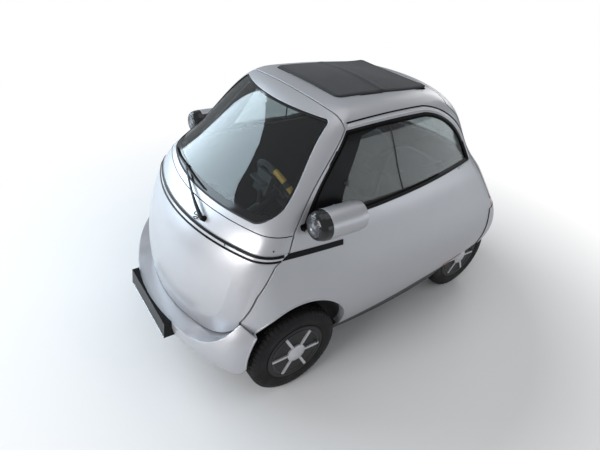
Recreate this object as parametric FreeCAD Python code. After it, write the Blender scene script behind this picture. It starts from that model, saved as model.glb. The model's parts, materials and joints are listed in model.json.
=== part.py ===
import FreeCAD, Part
import math
import os

# A two-seat electric bubble microcar with one door across the whole front and a lifting tail door.
# Millimetres. The origin is on the floor under the middle of the car. The front looks along -Y,
# and +X is the driver's left.

Vector = FreeCAD.Vector
os.makedirs("parts", exist_ok=True)

# Whole car
nose_y = -1304.0
tail_y = 1256.0
frame_shift = -(nose_y + tail_y) / 2
wheelbase = 1564.0
front_axle_y = -739.0
rear_axle_y = front_axle_y + wheelbase
far = 2000.0

# Body panels
side_wall = 42.0
roof_wall = 26.0
panel_gap = 6.0
door_gap = 7.0
skin_clearance = 0.3

# Turns of the outline, in degrees from straight across the front to straight across the back
side_start_turn = 84.0
side_end_turn = 101.2
rear_share = 1.3

# Level outlines of the body. Height; front and rear on the centre line; half width; radius of the front
# as a share of the half width; turn of the front arc; turn at which the rear arc starts.
body_levels = [
    (200, -1120, 1095, 588, 1.5, 33, 150),
    (400, -1199, 1226, 668, 1.5, 33, 150),
    (550, -1209, 1236, 694, 1.5, 32, 150),
    (850, -1127, 1031, 640, 1.8, 27, 148),
    (1000, -1024, 891, 600, 2.0, 24, 146),
    (1290, -734, 636, 498, 2.1, 22, 145),
    (1431, -579, 487, 432, 2.1, 24, 145),
    (1485, -449, 266, 307, 1.7, 30, 147),
    (1500, -279, 41, 160, 1.3, 33, 150),
]

# Level outlines of the front bumper, in the same columns
bumper_levels = [
    (200, -1238, 1095, 672, 1.55, 32, 150),
    (262, -1266, 1150, 683, 1.6, 31.5, 150),
    (320, -1283, 1180, 689, 1.6, 31, 150),
    (390, -1284, 1200, 691, 1.6, 31, 150),
    (480, -1252, 1210, 692, 1.55, 32, 150),
    (600, -1212, 1220, 694, 1.5, 32, 150),
]
bumper_wall = 32.0
ledge_inner_depth = 30.0
bumper_seam_gap = 2.0
# Ledge cut: y of each section, and how far it is grown below the door and beside its corners
ledge_sections = [(-1060.0, 3.5, 3.5), (-1110.0, 3.5, 15.0), (-1190.0, 4.0, 19.0), (-1290.0, 8.0, 26.0)]
bumper_rear_line = [(-1062.0, 196.0), (-1022.0, 302.0)]

# Front door seam seen from the side: y, height, from the roof down
header_y = -457.0
header_middle_y = -494.0
header_half_width = 430.0
door_seam = [(header_y, 1398), (-781, 1000), (-815, 915), (-888, 862), (-975, 715), (-1036, 552)]
door_bottom_height = 374.0
door_corner_x = 330.0
door_corner_middle = (490.0, 428.0)
door_corner_end = (576.0, 552.0)

# Windscreen seen from the front
screen_low = 1013.0
screen_high_corner = 1427.0
screen_half_low = 529.0
screen_half_high = 384.0
screen_corner = 62.0
glass_thickness = 6.0
glass_seat = 3.0

# Light bar across the door, its black tails along the sides, and the tail light bar
bar_low = 880.0
bar_high = 912.0
bar_proud = 2.5
tail_bar_proud = 2.5
bar_depth = 12.0
strip_end_y = -513.0
tail_bar_low = 694.0
tail_bar_high = 722.0
tail_bar_start_y = 925.0

# Side windows seen from the side
window_front_low = (-742.0, 1006.0)
window_front_high = (-452.0, 1394.0)
window_top_middle = (-238.0, 1412.0)
window_top_end = (96.0, 1416.0)
window_rear_middle = (395.0, 1296.0)
window_rear_low = (566.0, 1084.0)
window_belt_middle = (-60.0, 1042.0)
quarter_high = (-390.0, 1384.0)
quarter_low = (-548.0, 1030.0)
window_trim_width = 20.0
window_trim_depth = 26.0
pane_split_high = -189.0
pane_split_low = -72.0
pane_overlap = 18.0
pane_thickness = 5.0

# Canvas roof
canvas_front_y = -388.0
canvas_rear_y = 264.0
canvas_half_width = 278.0
canvas_corner = 34.0
canvas_proud = 9.0
canvas_sunk = 10.0
canvas_clearance = 4.0

# Tail door seen from the side: y, height, from the roof down
hatch_seam = [(322, 1420), (430, 1345), (530, 1215), (618, 1090), (705, 985), (832, 845), (905, 752)]
hatch_low = 752.0
rear_window_low = 1010.0
rear_window_high = 1402.0
rear_window_half_low = 400.0
rear_window_half_high = 318.0
rear_window_corner = 70.0

# Rear bumper, dark valance and plates
rear_bumper_front_y = 884.0
rear_bumper_proud = 5.0
valance_inset = 16.0
valance_wall = 20.0
valance_low = 250.0
plate_half_width = 260.0
plate_height = 112.0
plate_thickness = 3.0
plate_holder_depth = 90.0
plate_slope = 0.09
rear_plate_low = 470.0
front_rail_half_width = 250.0
front_rail_low = 280.0
front_rail_high = 380.0
front_rail_slope = 0.07
plate_bolt_spacing = 250.0
plate_bolt_radius = 3.0
plate_bolt_reach = 90.0

# Lower edge of the painted sides, seen from the side: y, height
sill_edge = [(-440, 292), (200, 392), (480, 404), (1300, 392)]
sill_bottom = 206.0
sill_inset = 10.0
sill_wall = 30.0
sill_front_y = -434.0
sill_rear_y = 520.0

# Wheels and tyres
tyre_radius = 266.0
tyre_width = 134.0
rim_radius = 165.0
tyre_centre_front_x = 595.0
tyre_centre_rear_x = 448.0
wheel_bar_count = 6
wheel_bar_length = 100.0
wheel_bar_width = 15.0
wheel_bar_start = 48.0
wheel_bar_turn = 30.0
cap_radius = 54.0
cap_height = 24.0
stub_radius = 17.0
bore_clearance = 0.05

# Wheel arches
arch_radius = 300.0
arch_centre_y = front_axle_y + 9.0
arch_centre_z = 325.0
liner_wall = 6.0
liner_inner_x = 352.0
rear_arch_front_y = 535.0
rear_arch_back_y = 1112.0
rear_arch_high = 560.0
rear_liner_inner_x = 346.0
arm_pocket_front_y = 450.0
arm_pocket_x = 397.0
arm_pocket_high = 320.0
liner_low = 235.0

# Steering
kingpin_x = 574.0
kingpin_half = 112.0
kingpin_radius = 9.0
pin_shoulder = 1.0
stub_reach = 38.0
hub_start = -6.0
disc_face = 62.0
column_x = 236.0
column_radius = 22.0
column_length = 300.0
steering_centre = Vector(column_x, -640.0, 1015.0)
column_tilt = 28.0
steering_radius = 172.0
steering_grip = 14.0

# Floor, battery, motor and the beams behind the bumpers
floor_low = 250.0
floor_thickness = 25.0
beam_half = 200.0
beam_front_y = -1100.0
floor_front_y = -1110.0
battery_half = 420.0
battery_front_y = -380.0
battery_rear_y = 430.0
battery_low = 190.0
load_front_y = 440.0
load_floor_z = 430.0
load_floor_thickness = 10.0
motor_half = 170.0
motor_front_y = 720.0
motor_rear_y = 960.0
motor_low = 180.0
tow_x = 250.0
tow_z = 300.0
tow_y = 1112.0
tail_beam_y = 1040.0
tow_radius = 8.0
tow_depth = 40.0

# Suspension
member_half = 392.0
member_low = 150.0
arm_thickness = 16.0
strut_set_back = 46.0
strut_foot_x = 478.0
strut_head_x = 410.0
strut_head_z = 618.0
rear_arm_x = 361.0
rear_arm_half = 11.0
rear_pivot_y = 480.0
rear_pivot_z = 260.0
rear_strut_x = 313.0

# Lamp pods beside the door
pod_x = 650.0
pod_z = 1060.0
pod_radius = 74.0
pod_front_y = -740.0
pod_ring_y = -680.0
pod_rear_y = -468.0
pod_stem_y = -553.0
lens_radius = 46.0

# Seats
seat_front_y = -70.0
seat_rear_y = 330.0
seat_box_high = 470.0
seat_high = 590.0
seat_back_high = 1060.0
seat_half_width = 236.0
seat_x = 246.0

# Wiper: the blade's ends, the arm's tip and its pivot
wiper_pivot = Vector(210, -1064, 944)
wiper_tip = Vector(-158, -992, 1050)
wiper_blade = [Vector(-422, -934, 1034), Vector(-158, -986, 1046), Vector(97, -1004, 1040)]


def mirrored(shape):
    return shape.mirror(Vector(0, 0, 0), Vector(1, 0, 0))


def both_sides(shape):
    return Part.Compound([shape, mirrored(shape)])


def block(x_low, x_high, y_low, y_high, z_low, z_high):
    return Part.makeBox(x_high - x_low, y_high - y_low, z_high - z_low, Vector(x_low, y_low, z_low))


def rod(start, end, radius):
    return Part.makeCylinder(radius, (end - start).Length, start, end - start)


def save(name, shape):
    solids = shape.Solids
    result = solids[0] if len(solids) == 1 else Part.Compound(solids)
    result = result.copy()
    result.translate(Vector(0, frame_shift, 0))
    result.exportStep("parts/" + name + ".step")
    volume = sum(solid.Volume for solid in solids)
    print(name, len(solids), "solids", round(volume / 1e6, 3), "litres", result.isValid())


def outline_radii(front, rear, half_width, front_share, turns):
    # Radii of the five arcs from the front centre to the rear centre, so that they close on both
    first, second, third, fourth = turns
    front_radius = front_share * half_width
    rear_radius = rear_share * half_width
    corner_reach = half_width - front_radius * math.sin(first)
    tail_reach = half_width - rear_radius * math.sin(fourth)
    length = rear - front - front_radius * (1 - math.cos(first)) - rear_radius * (1 + math.cos(fourth))
    corner_slope = (math.cos(first) - math.cos(second)) / (math.sin(second) - math.sin(first))
    tail_slope = (math.cos(third) - math.cos(fourth)) / (math.sin(third) - math.sin(fourth))
    side_spread = (math.cos(second) - math.cos(third) - corner_slope * (1 - math.sin(second))
                   - tail_slope * (1 - math.sin(third)))
    side_radius = (length - corner_slope * corner_reach - tail_slope * tail_reach) / side_spread
    corner_radius = corner_reach - side_radius * (1 - math.sin(second))
    corner_radius /= math.sin(second) - math.sin(first)
    tail_radius = tail_reach - side_radius * (1 - math.sin(third))
    tail_radius /= math.sin(third) - math.sin(fourth)
    return [front_radius, corner_radius, side_radius, tail_radius, rear_radius]


def level_outline(level, inset, height):
    # One closed level outline: five arcs down the left side, and the same five back on the right
    front, rear, half_width, front_share, front_turn, rear_turn = level[1:]
    degrees = [0.0, front_turn, side_start_turn, side_end_turn, rear_turn, 180.0]
    turns = [math.radians(value) for value in degrees]
    radii = outline_radii(front + inset, rear - inset, half_width - inset, front_share, turns[1:5])
    x = 0.0
    y = front + inset
    left = []
    for radius, start, end in zip(radii, turns[:-1], turns[1:]):
        points = []
        for turn in (start, (start + end) / 2, end):
            across = x + radius * (math.sin(turn) - math.sin(start))
            along = y + radius * (math.cos(start) - math.cos(turn))
            points.append((across, along))
        x, y = points[-1]
        left.append(points)
    left[-1][-1] = (0.0, rear - inset)
    edges = []
    for points in left:
        edges.append(Part.Arc(*[Vector(px, py, height) for px, py in points]).toShape())
    for points in reversed(left):
        edges.append(Part.Arc(*[Vector(-px, py, height) for px, py in reversed(points)]).toShape())
    return Part.Wire(edges)


def level_form(levels, inset=0.0, drop=0.0, below=0.0):
    # A smooth closed form through the level outlines, drawn in by inset and lowered at the top by drop
    base = levels[0][0]
    top = levels[-1][0]
    wires = []
    for level in levels:
        height = level[0] - drop * (level[0] - base) / (top - base)
        if level is levels[0]:
            height = height - below
        wires.append(level_outline(level, inset, height))
    return Part.makeLoft(wires, True, False)


def side_prism(edges, half_width=far):
    # A closed outline in the side view, pushed across the car
    face = Part.Face(Part.Wire(edges))
    face.translate(Vector(-half_width, 0, 0))
    return face.extrude(Vector(2 * half_width, 0, 0))


def side_lines(points):
    closed = points + [points[0]]
    edges = []
    for start, end in zip(closed[:-1], closed[1:]):
        edges.append(Part.makeLine(Vector(0, *start), Vector(0, *end)))
    return edges


def front_prism(edges, y_low, y_high):
    # A closed outline in the front view, pushed along the car
    face = Part.Face(Part.Wire(edges))
    face.translate(Vector(0, y_low, 0))
    return face.extrude(Vector(0, y_high - y_low, 0))


def arc_edge(start, middle, end):
    return Part.Arc(start, middle, end).toShape()


def rounded_outline(corners, radii):
    # Closed outline of straight lines with an arc of its own radius at each corner
    count = len(corners)
    edges = []
    joins = []
    for index in range(count):
        corner = corners[index]
        back = (corners[index - 1] - corner).normalize()
        ahead = (corners[(index + 1) % count] - corner).normalize()
        half_angle = back.getAngle(ahead) / 2
        reach = radii[index] / math.tan(half_angle)
        middle_way = (back + ahead).normalize()
        centre = corner + middle_way * (radii[index] / math.sin(half_angle))
        joins.append((corner + back * reach, centre - middle_way * radii[index], corner + ahead * reach))
    for index in range(count):
        start, middle, end = joins[index]
        edges.append(arc_edge(start, middle, end))
        following = joins[(index + 1) % count][0]
        if (following - end).Length > 0.01:
            edges.append(Part.makeLine(end, following))
    return edges


def door_side_region(grow):
    points = [(y + grow * 1.2, z) for y, z in door_seam]
    top = [(header_y + 40 + grow, 1700), (header_y + 40 + grow, door_seam[0][1] + 49)]
    bottom = [(door_seam[-1][0] + grow * 1.2, 150), (-far, 150), (-far, 1700)]
    return side_prism(side_lines(top + points[1:] + bottom))


def door_front_edges(grow, y=0.0, side_grow=None):
    # The door seen from the front: its rounded lower corners, opened out above them
    side_grow = grow if side_grow is None else side_grow
    low = door_bottom_height - grow
    corner_start = Vector(door_corner_x, y, low)
    corner_middle = Vector(door_corner_middle[0] + side_grow * 0.7, y,
                           door_corner_middle[1] - side_grow * 0.7)
    corner_end = Vector(door_corner_end[0] + side_grow, y, door_corner_end[1])
    shoulder = Vector(800, y, 610)
    top = Vector(800, y, 1700)
    left = [
        Part.makeLine(Vector(0, y, low), corner_start),
        arc_edge(corner_start, corner_middle, corner_end),
        Part.makeLine(corner_end, shoulder),
        Part.makeLine(shoulder, top),
        Part.makeLine(top, Vector(0, y, 1700)),
    ]
    right = [edge.mirror(Vector(0, 0, 0), Vector(1, 0, 0)) for edge in left]
    return Part.__sortEdges__(left + right)


def header_prism(grow):
    # In front of the header seam, which bows forward in the middle
    middle = Vector(0, header_middle_y + grow, 100)
    bow = (header_y - header_middle_y) / header_half_width ** 2
    wide = 800.0
    end_y = middle.y + bow * wide ** 2
    points = [Vector(-wide, end_y, 100), middle, Vector(wide, end_y, 100)]
    edges = [arc_edge(*points), Part.makeLine(points[2], Vector(wide, -far, 100)),
             Part.makeLine(Vector(wide, -far, 100), Vector(-wide, -far, 100)),
             Part.makeLine(Vector(-wide, -far, 100), points[0])]
    return Part.Face(Part.Wire(edges)).extrude(Vector(0, 0, 1600))


def door_region(grow):
    region = door_side_region(grow).common(front_prism(door_front_edges(grow), -far, 0))
    return region.common(header_prism(grow))


def screen_edges(grow):
    low = screen_low - grow
    high = screen_high_corner + grow
    corner = screen_corner + grow
    half_low = screen_half_low + grow
    half_high = screen_half_high + grow
    corners = [Vector(-half_low, 0, low), Vector(half_low, 0, low),
               Vector(half_high, 0, high), Vector(-half_high, 0, high)]
    return rounded_outline(corners, [corner, corner, 34.0, 34.0])


def window_edges(grow, front_high, front_low):
    # One side window seen from the side, with its front edge from front_high down to front_low
    top_z = window_top_end[1] + grow
    high = Vector(0, front_high[0] - grow, front_high[1] + grow)
    low = Vector(0, front_low[0] - grow * 1.4, front_low[1] - grow)
    top_middle = Vector(0, window_top_middle[0], window_top_middle[1] + grow)
    top_end = Vector(0, window_top_end[0], top_z)
    rear_middle = Vector(0, window_rear_middle[0] + grow * 0.7, window_rear_middle[1] + grow * 0.7)
    rear_low = Vector(0, window_rear_low[0] + grow, window_rear_low[1] - grow * 0.6)
    belt_middle = Vector(0, window_belt_middle[0], window_belt_middle[1] - grow)
    return [
        Part.makeLine(low, high),
        arc_edge(high, top_middle, top_end),
        arc_edge(top_end, rear_middle, rear_low),
        arc_edge(rear_low, belt_middle, low),
    ]


def window_prism(grow, front_high, front_low, x_low, x_high):
    face = Part.Face(Part.Wire(window_edges(grow, front_high, front_low)))
    face.translate(Vector(x_low, 0, 0))
    return face.extrude(Vector(x_high - x_low, 0, 0))


def hatch_region(grow):
    points = [(y - grow * 1.2, z) for y, z in hatch_seam]
    points[0] = (hatch_seam[0][0] - grow, hatch_seam[0][1])
    points[-1] = (hatch_seam[-1][0] - grow, hatch_low - grow)
    outline = [(hatch_seam[0][0] - grow, 1700)] + points + [(far, hatch_low - grow), (far, 1700)]
    return side_prism(side_lines(outline))


def rear_window_edges(grow):
    half_low = rear_window_half_low + grow
    half_high = rear_window_half_high + grow
    corners = [Vector(-half_low, 0, rear_window_low - grow), Vector(half_low, 0, rear_window_low - grow),
               Vector(half_high, 0, rear_window_high + grow), Vector(-half_high, 0, rear_window_high + grow)]
    return rounded_outline(corners, [rear_window_corner + grow] * 4)


def canvas_prism(grow):
    half = canvas_half_width + grow
    front = canvas_front_y - grow
    rear = canvas_rear_y + grow
    corners = [Vector(-half, front, 1300), Vector(half, front, 1300),
               Vector(half, rear, 1300), Vector(-half, rear, 1300)]
    face = Part.Face(Part.Wire(rounded_outline(corners, [canvas_corner + grow] * 4)))
    return face.extrude(Vector(0, 0, 400))


def arch_prism(grow, x_low, x_high):
    # Opening over a front wheel: a half circle that runs straight down
    radius = arch_radius + grow
    left = Vector(x_low, arch_centre_y - radius, arch_centre_z)
    right = Vector(x_low, arch_centre_y + radius, arch_centre_z)
    top = Vector(x_low, arch_centre_y, arch_centre_z + radius)
    edges = [
        arc_edge(left, top, right),
        Part.makeLine(right, Vector(x_low, right.y, 100)),
        Part.makeLine(Vector(x_low, right.y, 100), Vector(x_low, left.y, 100)),
        Part.makeLine(Vector(x_low, left.y, 100), left),
    ]
    return Part.Face(Part.Wire(edges)).extrude(Vector(x_high - x_low, 0, 0))


def rear_arch_prism(grow, x_low, x_high):
    middle = (rear_arch_front_y + rear_arch_back_y) / 2
    start = Vector(x_low, rear_arch_front_y - grow, 330)
    end = Vector(x_low, rear_arch_back_y + grow, 330)
    top = Vector(x_low, middle, rear_arch_high + grow)
    edges = [
        arc_edge(start, top, end),
        Part.makeLine(end, Vector(x_low, end.y, 100)),
        Part.makeLine(Vector(x_low, end.y, 100), Vector(x_low, start.y, 100)),
        Part.makeLine(Vector(x_low, start.y, 100), start),
    ]
    return Part.Face(Part.Wire(edges)).extrude(Vector(x_high - x_low, 0, 0))


def below_sill_edge(grow):
    points = [(y, z + grow) for y, z in sill_edge]
    return side_prism(side_lines([(-500, 100), (-500, points[0][1])] + points[0:] + [(1300, 100)]))


def bumper_side_region(grow):
    # In front of the wheel, below the seam that runs from the door's corner to the arch
    seam_top = (door_seam[-1][0] - 24, 566 + grow)
    seam_low = (arch_centre_y - 240, 470 + grow)
    return side_prism(side_lines([(-far, 150), (-960 + grow, 150), (-960 + grow, seam_low[1] - 30), seam_low,
                                  seam_top, (-far, 566 + grow)]))


def rear_bumper_zone(grow):
    return block(-far, far, rear_bumper_front_y - grow, far, 120, tail_bar_low)


def rear_wheel_clearance(side):
    # Room for a rear tyre and its rounded shoulder inside the painted side
    start = Vector(side * rear_liner_inner_x, rear_axle_y, tyre_radius)
    outer_x = tyre_centre_rear_x + tyre_width / 2 + 8
    wide = rod(start, Vector(side * (outer_x - 10), rear_axle_y, tyre_radius), tyre_radius + 8)
    narrow = rod(start, Vector(side * outer_x, rear_axle_y, tyre_radius), tyre_radius - 14)
    return wide.fuse(narrow)


# The body form and its hollow
outer_form = level_form(body_levels)
hollow_form = level_form(body_levels, side_wall, roof_wall, 20.0)
shell = outer_form.cut(hollow_form)

# Front door, with its recess for the light bar
bar_core = level_form(body_levels, bar_depth, bar_depth)
bar_band = block(-far, far, -far, header_y, bar_low, bar_high).cut(bar_core)
screen_opening = front_prism(screen_edges(0), -far, -400)
front_door = shell.common(door_region(-door_gap / 2)).cut([screen_opening, bar_band])
save("front_door", front_door)

# Windscreen, seated a little below the panel's face
screen_outer = level_form(body_levels, glass_seat, glass_seat)
screen_inner = level_form(body_levels, glass_seat + glass_thickness * 1.4, glass_seat + glass_thickness)
screen_zone = front_prism(screen_edges(-skin_clearance), -far, -400)
save("windscreen", screen_zone.common(screen_outer).cut(screen_inner))

# Light bar on the door and the black tails beside it
bar_outer = level_form(body_levels, -bar_proud, -bar_proud)
light_band = block(-far, far, -far, header_y, bar_low + 0.5, bar_high - 0.5)
light_zone = light_band.common(door_region(-door_gap / 2))
save("front_light_bar", light_zone.common(bar_outer).cut(bar_core))
strip_zone = block(300, far, -far, strip_end_y, bar_low + 4, bar_high - 1).cut(door_region(door_gap / 2))
strip_recess = strip_zone.cut(bar_core)
save("side_strips", both_sides(strip_recess.common(bar_outer)))

# Front bumper with its sloping ledge under the door
bumper_form = level_form(bumper_levels)
bumper_hollow = level_form(bumper_levels, bumper_wall, 0.0, 20.0)
bumper_hollow = bumper_hollow.common(level_form(body_levels, ledge_inner_depth, 0.0, 20.0))
ledge_wires = [Part.Wire(door_front_edges(low, y, side)) for y, low, side in ledge_sections]
ledge_cut = Part.makeLoft(ledge_wires, True, True)
behind_ledge = front_prism(door_front_edges(door_gap / 2), ledge_sections[-2][0] - 1, 0)
behind_arch_edge = side_prism(side_lines(bumper_rear_line + [(0, 302), (0, 100), (-1062, 100)]))
front_bumper = bumper_side_region(0).common(bumper_form)
front_bumper = front_bumper.cut([bumper_hollow, arch_prism(0, -far, far), behind_ledge, ledge_cut,
                                 behind_arch_edge])
save("front_bumper", front_bumper)

# Tail light bar below the tail door
tail_band = block(-far, far, tail_bar_start_y, far, tail_bar_low, tail_bar_high).cut(bar_core)
tail_light_bar = block(-far, far, tail_bar_start_y + 0.5, far, tail_bar_low + 0.5, tail_bar_high - 0.5)
tail_outer = level_form(body_levels, -tail_bar_proud)
save("tail_light_bar", tail_light_bar.common(tail_outer).cut(bar_core))

# Painted body sides, pillars and roof
side_windows = window_prism(0, window_front_high, window_front_low, -far, far)
body_openings = [
    door_region(door_gap / 2),
    hatch_region(panel_gap / 2),
    side_windows,
    canvas_prism(canvas_clearance),
    arch_prism(0, -far, far),
    below_sill_edge(0),
    bumper_side_region(bumper_seam_gap),
    strip_recess,
    mirrored(strip_recess),
    rear_bumper_zone(panel_gap / 2),
    tail_band,
    rear_wheel_clearance(1),
    rear_wheel_clearance(-1),
]
body_shell = shell.cut(body_openings)
save("body_shell", body_shell)

# Rear bumper and the dark valance below it
bumper_edge = below_sill_edge(0)
rear_outer = level_form(body_levels, -rear_bumper_proud)
rear_bumper = rear_bumper_zone(-panel_gap / 2).common(rear_outer)
plate_bolts = []
for x in (-plate_bolt_spacing / 2, plate_bolt_spacing / 2):
    bolt_z = rear_plate_low + plate_height / 2
    plate_bolts.append(rod(Vector(x, tail_y - plate_bolt_reach, bolt_z), Vector(x, tail_y + 1, bolt_z),
                           plate_bolt_radius))
rear_bumper = rear_bumper.cut([hollow_form, bumper_edge, rear_wheel_clearance(1), rear_wheel_clearance(-1),
                               block(-far, far, 0, far, tail_bar_low - 1, far), *plate_bolts])
save("rear_bumper", rear_bumper)
valance_outer = level_form(body_levels, valance_inset)
valance_inner = level_form(body_levels, valance_inset + valance_wall, 0.0, 20.0)
valance_zone = block(-330, 330, rear_axle_y, far, valance_low, 500).common(bumper_edge)
tow_hole = rod(Vector(tow_x, tail_beam_y, tow_z), Vector(tow_x, far, tow_z), tow_radius + 15)
save("rear_valance", valance_zone.common(valance_outer).cut([valance_inner, tow_hole]))

# Black sills under the painted sides, between the wheels
sill_outer = level_form(body_levels, sill_inset)
sill_inner = level_form(body_levels, sill_inset + sill_wall, 0.0, 20.0)
sill_zone = block(-far, far, sill_front_y, sill_rear_y, sill_bottom, 500).common(below_sill_edge(0))
save("sills", sill_zone.common(sill_outer).cut(sill_inner))

# Canvas roof in its opening
canvas_outer = level_form(body_levels, -canvas_proud, -canvas_proud)
canvas_inner = level_form(body_levels, canvas_sunk, canvas_sunk)
save("canvas_roof", canvas_prism(0).common(canvas_outer).cut(canvas_inner))

# Side windows: black surround with the front quarter panel, and two panes that slide past each other
trim_inner = level_form(body_levels, window_trim_depth, window_trim_depth)
pane_outer = level_form(body_levels, glass_seat, glass_seat)
pane_inner = level_form(body_levels, glass_seat + pane_thickness, glass_seat + pane_thickness)
surround_zone = window_prism(-skin_clearance, window_front_high, window_front_low, 300, far)
glass_zone = window_prism(-window_trim_width, quarter_high, quarter_low, 200, far)
surround = surround_zone.common(outer_form).cut([trim_inner, glass_zone])
save("window_surrounds", both_sides(surround))
pane_zone = window_prism(-window_trim_width - skin_clearance, quarter_high, quarter_low, 200, far)
panes = pane_zone.common(pane_outer).cut(pane_inner)
split_line = [(pane_split_high, 1420), (pane_split_low, 1020), (-far, 1020), (-far, 1420)]
rear_pane = panes.cut(side_prism(side_lines(split_line)))
front_pane = panes.common(side_prism(side_lines([(y - 1, z) for y, z in split_line])))
save("side_glass", both_sides(Part.Compound([front_pane, rear_pane])))

# Tail door and its window
rear_opening = front_prism(rear_window_edges(0), 150, far)
hatch = shell.common(hatch_region(-panel_gap / 2)).cut(rear_opening)
save("tail_door", hatch)
rear_glass_zone = front_prism(rear_window_edges(-skin_clearance), 150, far)
save("tail_glass", rear_glass_zone.common(screen_outer).cut(screen_inner))

# Wheel arch liners: closed towards the cabin and open below
def clipped_liner(outside, room):
    below = block(-far, far, -far, far, 0, liner_low)
    return outside.common(hollow_form).cut([room, below])


rear_inner_wall = rear_liner_inner_x - liner_wall
pocket_outside = block(rear_inner_wall, arm_pocket_x + liner_wall, arm_pocket_front_y - liner_wall,
                       rear_arch_front_y + liner_wall, 0, arm_pocket_high + liner_wall)
pocket_room = block(rear_liner_inner_x, arm_pocket_x, arm_pocket_front_y, rear_arch_front_y + liner_wall + 1,
                    0, arm_pocket_high)
strut_way = block(0, rear_liner_inner_x + 1, rear_arch_front_y + 40, rear_axle_y + 90, 90, arm_pocket_high)
tube_way = block(0, rear_liner_inner_x + 1, rear_pivot_y - 29, rear_pivot_y + 29, 90, rear_pivot_z + 29)
front_liner = clipped_liner(arch_prism(liner_wall, liner_inner_x - liner_wall, far),
                            arch_prism(0, liner_inner_x, far))
rear_outside = rear_arch_prism(liner_wall, rear_inner_wall, far).fuse(pocket_outside)
rear_room = rear_arch_prism(0, rear_liner_inner_x, far).fuse([pocket_room, strut_way, tube_way])
rear_liner = clipped_liner(rear_outside, rear_room)
save("arch_liners", Part.Compound([front_liner, mirrored(front_liner), rear_liner, mirrored(rear_liner)]))

# Floor with its notches for the wheel arches, and the load floor behind the seats
floor_high = floor_low + floor_thickness
arch_front_y = arch_centre_y - arch_radius - liner_wall - skin_clearance
arch_back_y = arch_centre_y + arch_radius + liner_wall + skin_clearance
arch_notch = block(liner_inner_x - liner_wall - skin_clearance, far, arch_front_y, arch_back_y, 0, 600)
pocket_edge = arm_pocket_x + liner_wall + skin_clearance
floor_outline = level_form(body_levels, sill_inset + sill_wall + skin_clearance, 0.0, 20.0)
floor_rear_y = rear_arch_front_y - liner_wall - skin_clearance
floor_pan = block(-far, far, floor_front_y, floor_rear_y, floor_low, floor_high).common(floor_outline)
floor_pan = floor_pan.cut([arch_notch, mirrored(arch_notch),
                           block(-pocket_edge, pocket_edge, load_front_y - skin_clearance, far, 0, 600)])
floor_nose = block(-far, far, -far, floor_front_y, floor_low, floor_high)
floor_nose = floor_nose.common(level_form(bumper_levels, bumper_wall + skin_clearance, 0.0, 20.0))
floor_nose = floor_nose.common(level_form(body_levels, ledge_inner_depth + skin_clearance, 0.0, 20.0))
save("floor_pan", floor_pan.fuse(floor_nose).removeSplitter())
load_half = rear_inner_wall - skin_clearance
load_behind = rear_arch_back_y + liner_wall + skin_clearance
load_top = load_floor_z + load_floor_thickness
load_slab = block(-load_half, load_half, load_front_y, far, load_floor_z, load_top)
load_slab = load_slab.fuse(block(-far, far, load_behind, far, load_floor_z, load_top))
load_slab = load_slab.common(level_form(body_levels, side_wall + skin_clearance, roof_wall, 20.0))
load_wall = block(-load_half, load_half, load_front_y, load_front_y + load_floor_thickness,
                  floor_low, load_floor_z + 1)
save("load_floor", load_slab.fuse(load_wall).removeSplitter())

# Battery and motor as plain blocks, and the beams behind the bumpers
save("battery", block(-battery_half, battery_half, battery_front_y, battery_rear_y, battery_low,
                      floor_low - skin_clearance))
save("motor", block(-motor_half, motor_half, motor_front_y, motor_rear_y, motor_low,
                    load_floor_z - skin_clearance))
nose_beam = block(-beam_half, beam_half, beam_front_y, beam_front_y + 40, floor_high + skin_clearance, 340)
tail_beam = block(-tow_x - 20, tow_x + 20, tail_beam_y, tail_beam_y + 30, tow_z - 15, tow_z + 15)
for side in (-1, 1):
    post_x = side * (tow_x - 16)
    tail_beam = tail_beam.fuse(block(post_x - 12, post_x + 12, tail_beam_y + 2, tail_beam_y + 28, tow_z,
                                     load_floor_z - skin_clearance))
tow_boss = rod(Vector(tow_x, tail_beam_y + 10, tow_z), Vector(tow_x, tow_y, tow_z), tow_radius + 9)
tow_bore = rod(Vector(tow_x, tow_y - tow_depth, tow_z), Vector(tow_x, tow_y + 1, tow_z), tow_radius)
save("cross_beams", Part.Compound([nose_beam, tail_beam.fuse(tow_boss).cut(tow_bore)]))


# Suspension
def flat_plate(points, z_low, thickness):
    corners = [Vector(x, y, z_low) for x, y in points]
    edges = [Part.makeLine(start, end) for start, end in zip(corners, corners[1:] + corners[:1])]
    return Part.Face(Part.Wire(edges)).extrude(Vector(0, 0, thickness))


def spring_strut(foot, head, coil_radius):
    # Damper, its spring seats and the spring as a sleeve between them
    way = (head - foot).normalize()
    length = (head - foot).Length
    damper = rod(foot, head, 9.0)
    seat_low = rod(foot + way * (length * 0.36), foot + way * (length * 0.36 + 8), coil_radius)
    seat_high = rod(foot + way * (length * 0.93), foot + way * (length * 0.93 + 8), coil_radius)
    spring = rod(foot + way * (length * 0.37), foot + way * (length * 0.94), coil_radius - 6)
    return damper.fuse([seat_low, seat_high, spring])


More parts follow.
